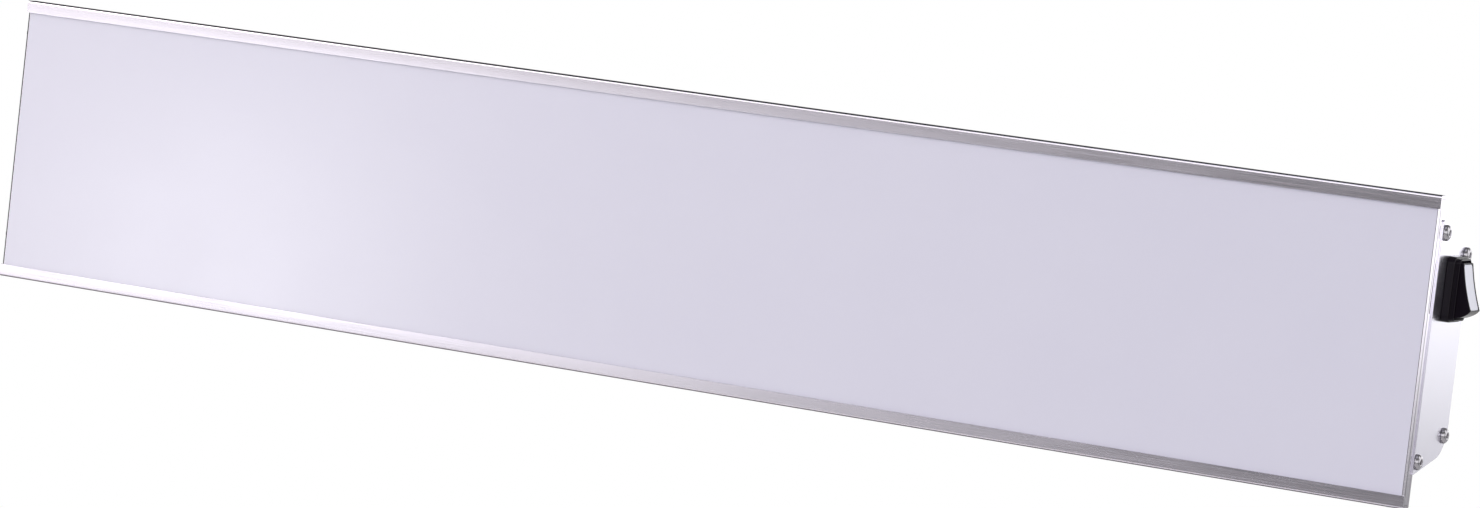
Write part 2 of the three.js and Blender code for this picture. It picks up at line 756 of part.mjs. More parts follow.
// Sheet with the face plate's outline, grown by a gap, between two depths below the dished face
function dishedSheet(gap, near, far) {
  const low = Math.PI + 2 * rockerDishAngle;
  const high = Math.PI - 2 * rockerDishAngle;
  const dished = new THREE.Shape();
  dished.absarc(rockerDishCentre, 0, rockerDishRadius + near, high, low);
  dished.absarc(rockerDishCentre, 0, rockerDishRadius + far, low, high, true);
  dished.closePath();
  const face = roundedRectangle(
    rockerHalfWidth - rockerSideRim + gap,
    rockerHalfHeight - rockerEndRim + gap,
    rockerFaceRadius + gap,
  );
  const slab = alongDepth(dished, -rockerHalfWidth, rockerHalfWidth, rockerDishSteps);
  return common(slab, alongX(face, 0, rockerFaceOut + cutOverrun));
}

// Terminal block: a base with one tower for each pole and a wire bore through each
function blockGeometry() {
  const back = backInnerDepth - seatGap;
  const towerBack = back - blockBaseThickness;
  const halfHeight = blockBaseHeight / 2;
  const base = alongX(rectangle([towerBack, -halfHeight], [back, halfHeight]), blockLeftX, blockRightX);
  const towers = poleHeights().map((height) => {
    const low = [towerBack - blockTowerThickness, height - blockTowerWidth / 2];
    const high = [back - blockBaseThickness / 2, height + blockTowerWidth / 2];
    return alongX(rectangle(low, high), blockLeftX, blockRightX);
  });
  const bores = poleHeights().map((height) =>
    alongX(disc([poleDepth, height], poleBoreRadius), blockLeftX - cutOverrun, blockRightX + cutOverrun));
  const wells = poleHeights().map((height) => poleWell(height));
  return cut(joined(base, ...towers), ...bores, ...wells);
}

function poleHeights() {
  return Array.from({ length: blockPoles }, (_, pole) => (pole - (blockPoles - 1) / 2) * poleSpacing);
}

// Screw well in the front of a tower, down to its wire bore
function poleWell(height) {
  const front = poleDepth - blockTowerThickness / 2 - cutOverrun;
  const middleX = (blockLeftX + blockRightX) / 2;
  const radius = poleScrewRadius + pieceGap;
  const well = new THREE.CylinderGeometry(radius, radius, poleDepth - front, smallRoundSides);
  return well.translate(middleX, (front + poleDepth) / 2, height);
}

// Slotted clamp screw of a pole, standing in its well
function poleScrewGeometry() {
  const front = poleDepth - poleBoreRadius - poleScrewLength;
  const back = poleDepth - poleBoreRadius;
  const radius = poleScrewRadius;
  const screw = new THREE.CylinderGeometry(radius, radius, poleScrewLength, smallRoundSides);
  screw.translate(0, (front + back) / 2, 0);
  const slotLow = [-radius - cutOverrun, front - cutOverrun];
  const slotHigh = [radius + cutOverrun, front + poleSlotDepth];
  return cut(screw, alongHeight(rectangle(slotLow, slotHigh), -poleSlotWidth / 2, poleSlotWidth / 2));
}

// Gland pieces, from the end plate's outer face at X = 0, outwards along +X
function glandBodyGeometry() {
  const mouthEnd = glandHexThickness + glandMouthLength;
  const inner = -endPlateThickness - glandThreadLength;
  const stem = rod(glandThreadRadius, inner, mouthEnd);
  const hex = hexagon(glandAcross, seatGap, glandHexThickness);
  const bore = rod(glandBoreRadius, inner - cutOverrun, glandHexThickness + cutOverrun);
  const mouth = rod(glandMouthRadius, glandHexThickness, mouthEnd + cutOverrun);
  return cut(joined(stem, hex), bore, mouth);
}

function glandCapGeometry() {
  const start = glandHexThickness + pieceGap;
  const domeStart = start + glandCapHexLength;
  const tip = domeStart + glandCapDomeLength;
  const hex = hexagon(glandCapAcross, start, domeStart);
  const shoulder = glandCapAcross / 2;
  const dome = [[0, domeStart - cutOverrun], [shoulder, domeStart - cutOverrun]];
  for (let step = 0; step <= domeSteps; step += 1) {
    const angle = (step / domeSteps) * (Math.PI / 2);
    const spread = shoulder - glandCapTipRadius;
    const radius = glandCapTipRadius + spread * Math.cos(angle);
    dome.push([radius, domeStart + glandCapDomeLength * Math.sin(angle)]);
  }
  dome.push([0, tip]);
  const cavityEnd = glandHexThickness + glandMouthLength + pieceGap;
  const cavity = rod(glandThreadRadius + pieceGap, start - cutOverrun, cavityEnd);
  const bore = rod(glandBoreRadius, start, tip + cutOverrun);
  return cut(joined(hex, turned(dome)), cavity, bore);
}

function glandSealGeometry() {
  const start = glandHexThickness + seatGap;
  const radius = glandMouthRadius - pieceGap;
  const finish = start + glandSealLength;
  return turned([
    [glandSealBoreRadius, start],
    [radius, start],
    [radius, finish],
    [glandSealBoreRadius, finish],
    [glandSealBoreRadius, start],
  ]);
}

function glandNutGeometry() {
  const start = -endPlateThickness - 2 * seatGap - glandNutThickness;
  const hex = hexagon(glandAcross, start, start + glandNutThickness);
  const bore = rod(glandThreadRadius + seatGap, start - cutOverrun, start + glandNutThickness + cutOverrun);
  return cut(hex, bore);
}

// Round wire through a row of points
function wireGeometry(points, steps) {
  const places = points.map((point) => new THREE.Vector3(...point));
  const path = new THREE.CatmullRomCurve3(places, false, 'centripetal');
  const section = disc([0, 0], wireRadius, wireSides);
  return new THREE.ExtrudeGeometry(section, { steps, extrudePath: path, bevelEnabled: false });
}

// Wire from a pole of the block to a blade of the switch, along the back of the housing
function feedWireGeometry(pole, blade) {
  const start = blockRightX + pieceGap;
  const level = poleHeights()[pole];
  const bladeHeight = switchHeightPlace + blade * (bladeSpacing / 2);
  const runDepth = backInnerDepth - wireRadius - wireSpacing / 4;
  const finish = switchInnerX - bladeLength - pieceGap - seatGap;
  const runHeight = blade * (wireSpacing / 2);
  return wireGeometry([
    [start, poleDepth, level],
    [start + wireBend / 2, poleDepth, level],
    [start + 2 * wireBend, runDepth, runHeight],
    [leftBracketX + wireBend, runDepth, runHeight],
    [rightBracketX - wireBend, runDepth, runHeight],
    [rightBracketX + wireBend / 2, runDepth, runHeight],
    [finish - wireBend, switchDepthPlace + wireBend / 2, bladeHeight],
    [finish - wireBend / 4, switchDepthPlace, bladeHeight],
    [finish, switchDepthPlace, bladeHeight],
  ], longWireSteps);
}

// Short lead from a left lamp base to the block
function lampLeadGeometry(side) {
  const baseEnd = leftBracketX - baseReach - pieceGap;
  const pole = poleHeights()[side > 0 ? blockPoles - 1 : 0];
  const level = pole + (side * blockTowerWidth) / 2;
  return wireGeometry([
    [baseEnd, lampDepth, side * lampHeight],
    [baseEnd - wireBend / 4, lampDepth, side * lampHeight],
    [(baseEnd + blockRightX) / 2, poleDepth - wireBend, side * (lampHeight - wireBend / 2)],
    [blockRightX + wireBend / 4, poleDepth - wireSpacing / 2, level],
    [blockRightX + pieceGap, poleDepth - wireSpacing / 2, level],
  ], shortWireSteps);
}

// Link between the two right lamp bases
function lampLinkGeometry() {
  const baseEnd = rightBracketX + baseReach + pieceGap;
  const bulge = baseEnd + wireBend / 2;
  return wireGeometry([
    [baseEnd, lampDepth, lampHeight],
    [baseEnd + wireBend / 4, lampDepth, lampHeight],
    [bulge, lampDepth, lampHeight - wireBend / 2],
    [bulge, lampDepth, 0],
    [bulge, lampDepth, wireBend / 2 - lampHeight],
    [baseEnd + wireBend / 4, lampDepth, -lampHeight],
    [baseEnd, lampDepth, -lampHeight],
  ], shortWireSteps);
}

// Materials
const finishes = {
  aluminium: { color: 0xc9c9cd, roughness: 0.32, metalness: 1 },
  brightAluminium: { color: 0xdedee2, roughness: 0.12, metalness: 1 },
  whiteGlass: { color: 0xe2e1ea, roughness: 0.08, metalness: 0 },
  seal: { color: 0xb9b6ae, roughness: 0.85, metalness: 0 },
  stainless: { color: 0xb4b3b6, roughness: 0.2, metalness: 1 },
  fibreBoard: { color: 0xe9e4d8, roughness: 0.95, metalness: 0 },
  quartz: { color: 0xdfe6ea, roughness: 0.05, metalness: 0 },
  carbon: { color: 0x2a2a2c, roughness: 0.7, metalness: 0 },
  ceramic: { color: 0xece8de, roughness: 0.5, metalness: 0 },
  blackPlastic: { color: 0x17171a, roughness: 0.35, metalness: 0 },
  greyPlastic: { color: 0xd9dadd, roughness: 0.3, metalness: 0 },
  brass: { color: 0xc2a25a, roughness: 0.35, metalness: 1 },
  rubber: { color: 0x1c1c1d, roughness: 0.8, metalness: 0 },
  wireSleeve: { color: 0xd8d4c8, roughness: 0.6, metalness: 0 },
};

function addPiece(parent, name, geometry, finish, place = [0, 0, 0]) {
  const mesh = new THREE.Mesh(geometry, new THREE.MeshStandardMaterial(finishes[finish]));
  mesh.name = name;
  mesh.position.set(...place);
  parent.add(mesh);
  return mesh;
}

function addGroup(parent, place) {
  const group = new THREE.Group();
  group.position.set(...place);
  parent.add(group);
  return group;
}

// Housing, glass, seals and side bars
function addFront(section) {
  addPiece(section, 'housing', housingGeometry(), 'aluminium');
  addPiece(section, 'glass_panel', glassGeometry(), 'whiteGlass');
  addPiece(section, 'gasket_top', gasketGeometry(1), 'seal');
  addPiece(section, 'gasket_bottom', gasketGeometry(-1), 'seal');
  addPiece(section, 'side_bar_right', sideBarGeometry(1), 'brightAluminium');
  addPiece(section, 'side_bar_left', sideBarGeometry(-1), 'brightAluminium');
}

// End plates, each with four screws
function addEnds(section) {
  addPiece(section, 'end_plate_right', rightEndPlateGeometry(), 'brightAluminium');
  addPiece(section, 'end_plate_left', leftEndPlateGeometry(), 'brightAluminium');
  const seatX = plateOuterX + seatGap;
  screwPlaces.forEach(([depth, height], index) => {
    const number = index + 1;
    const right = endScrewGeometry();
    addPiece(section, `end_screw_right_${number}`, right, 'stainless', [seatX, depth, height]);
    const left = endScrewGeometry().rotateZ(Math.PI);
    addPiece(section, `end_screw_left_${number}`, left, 'stainless', [-seatX, depth, height]);
  });
}

// Reflector, insulation, lamps and their brackets
function addLamps(section) {
  addPiece(section, 'reflector', reflectorGeometry(), 'brightAluminium');
  addPiece(section, 'insulation_board', insulationGeometry(), 'fibreBoard');
  addPiece(section, 'lamp_bracket_left', bracketGeometry(1), 'aluminium');
  addPiece(section, 'lamp_bracket_right', bracketGeometry(-1), 'aluminium');
  const leftBaseX = leftBracketX - baseReach;
  const rightBaseX = rightBracketX + baseReach;
  const socketFloor = baseLength - baseSocketDepth + pieceGap;
  const tubeStart = leftBaseX + socketFloor;
  const tubeLength = rightBaseX - socketFloor - tubeStart;
  for (const [name, side] of [['upper', 1], ['lower', -1]]) {
    const height = side * lampHeight;
    const leftPlace = [leftBaseX, lampDepth, height];
    const rightPlace = [rightBaseX, lampDepth, height];
    const tubePlace = [tubeStart, lampDepth, height];
    addPiece(section, `lamp_base_left_${name}`, lampBaseGeometry(), 'ceramic', leftPlace);
    addPiece(section, `lamp_base_right_${name}`, lampBaseGeometry().rotateZ(Math.PI), 'ceramic', rightPlace);
    addPiece(section, `lamp_tube_${name}`, lampTubeGeometry(tubeLength), 'quartz', tubePlace);
    addPiece(section, `lamp_filament_${name}`, filamentGeometry(tubeLength), 'carbon', tubePlace);
    addPiece(section, `lamp_lead_${name}`, lampLeadGeometry(side), 'wireSleeve');
  }
  addPiece(section, 'lamp_link_wire', lampLinkGeometry(), 'wireSleeve');
}

// Switch with its rocker, which rests with its lower end out
function addSwitch(section) {
  const switchGroup = addGroup(section, [plateOuterX, switchDepthPlace, switchHeightPlace]);
  addPiece(switchGroup, 'switch_housing', switchHousingGeometry(), 'blackPlastic');
  const rockerGroup = addGroup(switchGroup, [rockerPivotOut, 0, 0]);
  rockerGroup.rotation.y = -rockerTilt;
  addPiece(rockerGroup, 'rocker', rockerGeometry(), 'blackPlastic');
  addPiece(rockerGroup, 'rocker_face', rockerFaceGeometry(), 'greyPlastic');
  const bladeShape = rectangle([-bladeThickness / 2, -bladeWidth / 2], [bladeThickness / 2, bladeWidth / 2]);
  for (const [name, side] of [['upper', 1], ['lower', -1]]) {
    const blade = alongX(bladeShape, -bladeLength - seatGap, -seatGap);
    const place = [-switchBodyLength, 0, side * (bladeSpacing / 2)];
    addPiece(switchGroup, `switch_terminal_${name}`, blade, 'brass', place);
  }
}

// Terminal block, its clamp screws and the two wires to the switch
function addWiring(section) {
  addPiece(section, 'terminal_block', blockGeometry(), 'ceramic');
  const middleX = (blockLeftX + blockRightX) / 2;
  poleHeights().forEach((height, index) => {
    const name = `terminal_screw_${index + 1}`;
    addPiece(section, name, poleScrewGeometry(), 'brass', [middleX, 0, height]);
  });
  addPiece(section, 'switch_wire_upper', feedWireGeometry(blockPoles - 1, 1), 'wireSleeve');
  addPiece(section, 'switch_wire_lower', feedWireGeometry(0, -1), 'wireSleeve');
}

// Cable gland through the left end plate, pointing outwards
function addGland(section) {
  const glandGroup = addGroup(section, [-plateOuterX, glandDepthPlace, glandHeightPlace]);
  const pieces = [
    ['gland_body', glandBodyGeometry(), 'blackPlastic'],
    ['gland_cap', glandCapGeometry(), 'blackPlastic'],
    ['gland_seal', glandSealGeometry(), 'rubber'],
    ['gland_locknut', glandNutGeometry(), 'blackPlastic'],
  ];
  for (const [name, geometry, finish] of pieces) {
    addPiece(glandGroup, name, geometry.rotateZ(Math.PI), finish);
  }
}

function buildHeater() {
  const heater = new THREE.Group();
  const section = addGroup(heater, [0, -housingDepth, 0]);
  addFront(section);
  addEnds(section);
  addLamps(section);
  addSwitch(section);
  addWiring(section);
  addGland(section);
  return heater;
}

export default buildHeater();
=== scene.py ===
"""Looks of an infrared heater: a white glass-ceramic panel in an extruded aluminium housing.

Every piece is built in millimetres as (along the heater, depth behind the front, height)
and placed in the part's own frame, whose origin is the middle of the flat back.
"""

import math

import bmesh
import bpy
from mathutils import Matrix, Vector
from mathutils.geometry import tessellate_polygon


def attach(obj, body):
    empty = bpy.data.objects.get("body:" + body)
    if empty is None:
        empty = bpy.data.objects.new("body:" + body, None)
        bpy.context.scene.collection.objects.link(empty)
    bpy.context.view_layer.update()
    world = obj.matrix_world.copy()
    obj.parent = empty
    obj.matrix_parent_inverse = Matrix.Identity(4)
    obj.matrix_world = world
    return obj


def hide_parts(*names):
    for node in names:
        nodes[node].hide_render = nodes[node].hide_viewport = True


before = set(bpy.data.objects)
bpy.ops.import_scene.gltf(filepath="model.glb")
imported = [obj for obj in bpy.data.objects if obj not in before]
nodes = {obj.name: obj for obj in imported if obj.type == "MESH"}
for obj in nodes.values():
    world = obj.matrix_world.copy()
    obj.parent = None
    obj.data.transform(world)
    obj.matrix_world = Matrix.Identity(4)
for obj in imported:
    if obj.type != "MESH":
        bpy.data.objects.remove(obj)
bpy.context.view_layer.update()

MM = 0.001

# Sizes of the heater in millimetres, as its solids have them. The section is drawn by depth
# behind the front and by height from the trough's middle.
HALF_LENGTH = 492.0
HOUSING_DEPTH = 60.5
SEAT_GAP = 0.1
PIECE_GAP = 0.3

# Front frame with its lips in front of the glass, and the trough behind it
FRAME_HALF_HEIGHT = 91.5
FRAME_DROP = 3.0
FRAME_DEPTH = 10.1
FRAME_BACK_FRONT = 7.7
FRAME_WEB = 1.8
FRAME_EDGE_RADIUS = 1.5
LIP_HEIGHT = 7.8
LIP_THICKNESS = 1.4
TROUGH_HALF_HEIGHT = 73.7
SIDE_LEAN = math.radians(11.3)
WALL = 2.0
CORNER_RADIUS = 20.0
HOUSING_EDGE = 0.2

# T-slots in the back, and ledges for the reflector
SLOT_HEIGHT = 38.0
SLOT_HALF_WIDTH = 7.0
SLOT_MOUTH_HALF_WIDTH = 4.2
SLOT_LIP = 2.0
SLOT_DEPTH = 6.0
LEDGE_FRONT = 18.9
LEDGE_THICKNESS = 1.5
LEDGE_WIDTH = 4.5

# Channels for the end screws, by depth and height, with their inner and outer radius
SCREW_PLACES = [(11.4, 67.0), (53.0, 53.4), (53.0, -53.4), (11.4, -67.0)]
SCREW_BORE = 2.8
SCREW_CHANNEL = 4.6
SCREW_SLIT_HALF = 1.0
FRONT_CHANNEL_LEAVES = 58  # degrees round the screw's place, as the next two
REAR_CHANNEL_ENTERS = 148
REAR_CHANNEL_LEAVES = -95
INNER_CORNER_STOPS = (34.2, 18.4, 4)  # degrees round the corner's centre, beside the rear screw
SECTION_MIDDLE = (HOUSING_DEPTH / 2, 0.0)

# End plates
PLATE_THICKNESS = 1.0
PLATE_SEAM = 0.03
PLATE_FRONT = 6.6
PLATE_FRONT_RADIUS = 1.5
PLATE_OUTER = HALF_LENGTH + SEAT_GAP + PLATE_THICKNESS
PLATE_EDGE = 0.3

# Glass and the angle bars at its ends
GLASS_FRONT = 1.5
GLASS_THICKNESS = 4.0
GLASS_CORNER = 2.0
GLASS_EDGE = 0.3
SIDE_BAR_THICKNESS = 1.75
SIDE_BAR_LEG = 12.0
SIDE_BAR_LEG_THICKNESS = 2.0
SIDE_BAR_BACK = 7.6
SIDE_BAR_ROUND = 1.85
SIDE_BAR_SEAM = 0.03
SIDE_BAR_EDGE = 0.1

# End screw: button head with a hex socket, its seat at zero
SCREW_RADIUS = 2.5
SCREW_LENGTH = 14.0
SCREW_TIP_RADIUS = 1.8
SCREW_TIP_TAPER = 0.7
SCREW_NECK = 0.3
SCREW_SEAT_RADIUS = 4.55
SCREW_HEAD_UNDEREDGE = (4.72, 0.08)  # radius and height
SCREW_HEAD_RADIUS = 4.75
SCREW_HEAD_RIM = 0.2
SCREW_HEAD_TOP_RADIUS = 2.4
SCREW_HEAD_HEIGHT = 2.75
SCREW_SOCKET = 3.0  # across its flats
SCREW_SOCKET_MOUTH_RADIUS = 1.95
SCREW_SOCKET_CHAMFER = 0.1
SCREW_SOCKET_FRONT = 2.5
SCREW_SOCKET_BOTTOM = 1.2
SCREW_SOCKET_POINT = (0.3, 0.75)  # radius and height

# Switch: its depth and height, then rounded rectangles as half width, half height and corner
# radius, and places outwards from the end plate
SWITCH_PLACE = (33.5, 34.0)
SWITCH_FLANGE = (12.5, 19.25, 4.0)
SWITCH_FLANGE_THICKNESS = 4.6
SWITCH_FLANGE_EDGE = 0.8
SWITCH_COLLAR = (10.15, 18.26, 3.0)
SWITCH_COLLAR_TOP = 7.2
SWITCH_COLLAR_EDGE = 0.45
SWITCH_POCKET = (9.05, 17.16, 0.6)
SWITCH_POCKET_FLOOR = -4.2
SWITCH_BODY = (10.25, 18.06, 3.0)
SWITCH_BODY_LENGTH = 22.0
SWITCH_CHAMFER = 0.2

# Rocker, measured from its pivot
ROCKER_PIVOT_OUT = 4.0  # from the end plate
ROCKER_TILT = math.radians(15.5)
ROCKER_FACE_OUT = 9.0  # at the ends of the dished face
ROCKER_DISH = 0.8
ROCKER_SKIRT_IN = 3.0
ROCKER_OUTLINE = (8.7, 14.2, 0.6)
ROCKER_EDGE = 0.4
ROCKER_SIDE_RINGS = 12
ROCKER_SIDE_END = 1.8  # below the face
ROCKER_RECESS = (7.7, 13.7, 2.4)
ROCKER_RECESS_DEPTH = 1.4
ROCKER_RECESS_CHAMFER = 0.15
ROCKER_PLATE = (7.5, 13.5, 2.2)
ROCKER_PLATE_FRONT = 0.3  # below the rim
ROCKER_PLATE_BACK = 1.3
ROCKER_PLATE_EDGE = 0.25

# Cable gland: radii, hexagons across their flats, and places outwards from the end plate
GLAND_PLACE = (43.0, 0.0)
GLAND_PASSAGE = 6.0
GLAND_THREAD = 10.0
GLAND_THREAD_LENGTH = 11.0
GLAND_HEXAGON = 24.0
GLAND_HEXAGON_TOP = 4.0
GLAND_CHAMFER = (0.4, 0.5)  # across and along
GLAND_NECK_TOP = 13.0
GLAND_NECK_CHAMFER = 0.3
GLAND_SEAL_POCKET = 8.6
GLAND_CAP_HEXAGON = 25.0
GLAND_CAP_DOME = 4.0
GLAND_CAP_DOME_HEIGHT = 7.0
GLAND_CAP_SHOULDER = 12.0
GLAND_SEAL_HOLE = 4.7
GLAND_SEAL_TOP = 12.1

# Points round a turned piece and a screw hole, and steps in the arcs of an outline
ROUND = 48
HOLE_ROUND = 32
CORNER_STEPS = 20
CHANNEL_STEPS = 10
BORE_STEPS = 28
EDGE_STEPS = 8
INNER_CORNER_STEPS = 4
DOME_STEPS = 10
CAP_STEPS = 8
BAR_STEPS = 6

# Camera of the photograph, in metres and degrees
CAMERA_PLACE = (1.4447, -2.8954, 0.2275)
CAMERA_TURN = (85.744, -6.6082, 26.701)
CAMERA_LENS = 125.43
SENSOR_WIDTH = 36.0

# Inputs and output of Blender's Mix node, by number, because those for numbers and for colours
# have the same names
MIX_SHARE = 0
FIRST_NUMBER, SECOND_NUMBER = 2, 3
FIRST_COLOUR, SECOND_COLOUR = 6, 7
MIXED_COLOUR = 2
# Bands that a wave texture has in each unit of its scale
WAVE_BANDS = 20


# Camera at the photograph's viewing angle
def make_camera():
    data = bpy.data.cameras.new("photo_camera")
    data.sensor_width = SENSOR_WIDTH
    data.lens = CAMERA_LENS
    data.clip_start = 0.05
    data.clip_end = 200.0
    camera = bpy.data.objects.new("photo_camera", data)
    camera.location = CAMERA_PLACE
    camera.rotation_euler = [math.radians(angle) for angle in CAMERA_TURN]
    bpy.context.scene.collection.objects.link(camera)
    bpy.context.scene.camera = camera


make_camera()


# Materials
def linear(code):
    """An sRGB colour, given as six hex digits, as linear red, green, blue and alpha."""
    shares = [int(code[place:place + 2], 16) / 255 for place in (0, 2, 4)]
    return [s / 12.92 if s <= 0.04045 else ((s + 0.055) / 1.055) ** 2.4 for s in shares] + [1.0]


def add_node(tree, kind, inputs, **settings):
    """Adds a node with its settings, and fills its inputs with values or links."""
    made = tree.nodes.new(kind)
    for name, value in settings.items():
        setattr(made, name, value)
    for socket, value in inputs.items():
        if isinstance(value, bpy.types.NodeSocket):
            tree.links.new(value, made.inputs[socket])
        else:
            made.inputs[socket].default_value = value
    return made


def per_mm(size):
    """Pattern scale, in repeats per metre, of a detail that is size millimetres long."""
    return 1 / (size * MM)


def surface(name, **sockets):
    """A new material with one Principled shader; returns it with its tree and shader."""
    made = bpy.data.materials.new(name)
    made.use_nodes = True
    shader = made.node_tree.nodes["Principled BSDF"]
    for socket, value in sockets.items():
        shader.inputs[socket.replace("_", " ")].default_value = value
    return made, made.node_tree, shader


def vary(tree, shader, colours, shade, roughness, height, depth):
    """Drives a shader by two patterns: its colour, between two hex codes, by shade, and its
    roughness, between two values, and its bump, of a depth in millimetres, by height."""
    first, second = (linear(code) for code in colours)
    low, high = roughness
    shades = {MIX_SHARE: shade, FIRST_COLOUR: first, SECOND_COLOUR: second}
    limits = {"Value": height, "From Min": 0.3, "From Max": 0.7, "To Min": low, "To Max": high}
    relief = {"Height": height, "Distance": depth * MM}
    driven = {
        "Base Color": add_node(
            tree, "ShaderNodeMix", shades, data_type="RGBA"
        ).outputs[MIXED_COLOUR],
        "Roughness": add_node(tree, "ShaderNodeMapRange", limits).outputs["Result"],
        "Normal": add_node(tree, "ShaderNodeBump", relief).outputs["Normal"],
    }
    for socket, source in driven.items():
        tree.links.new(source, shader.inputs[socket])


def finish(name, colours, clouds, grain, roughness, depth, detail=3.0, **sockets):
    """A finish whose soft clouds vary its colour, and whose finer grain varies its roughness
    and its height. Both are given as their size in millimetres along X, Y and Z."""
    made, tree, shader = surface(name, **sockets)
    coordinates = add_node(tree, "ShaderNodeTexCoord", {}).outputs["Object"]
    patterns = []
    for size, fineness in ((clouds, 3.0), (grain, detail)):
        scale = {"Vector": coordinates, "Scale": [per_mm(part) for part in size]}
        mapped = add_node(tree, "ShaderNodeMapping", scale).outputs["Vector"]
        noise = {"Vector": mapped, "Scale": 1.0, "Detail": fineness}
        patterns.append(add_node(tree, "ShaderNodeTexNoise", noise).outputs["Fac"])
    shade, height = patterns
    vary(tree, shader, colours, shade, roughness, height, depth)
    return made


def woven_glass_fibre(name, colours, thread):
    """Glass-fibre yarn woven across itself, cream and matte, with the thread's width in millimetres:
    each thread stands up in turn, so the light catches it in rows. Its colour is painted lighter on the
    raised threads and darker between them, a painted shade on top of the real bump."""
    made, tree, shader = surface(name, IOR=1.55)
    coordinates = add_node(tree, "ShaderNodeTexCoord", {}).outputs["Object"]
    wave = {"Vector": coordinates, "Scale": per_mm(thread) / WAVE_BANDS, "Distortion": 1.5}
    warp, weft = (
        add_node(tree, "ShaderNodeTexWave", wave, bands_direction=direction).outputs["Fac"]
        for direction in ("X", "Z")
    )
    threads = {0: warp, 1: weft}
    woven = add_node(tree, "ShaderNodeMath", threads, operation="MAXIMUM").outputs["Value"]
    # The weave's height sets the bump and also the colour: the raised threads get the lighter colour
    # and the gaps the darker one, as painted shade
    vary(tree, shader, colours, woven, (0.75, 0.9), woven, thread / 4)
    return made


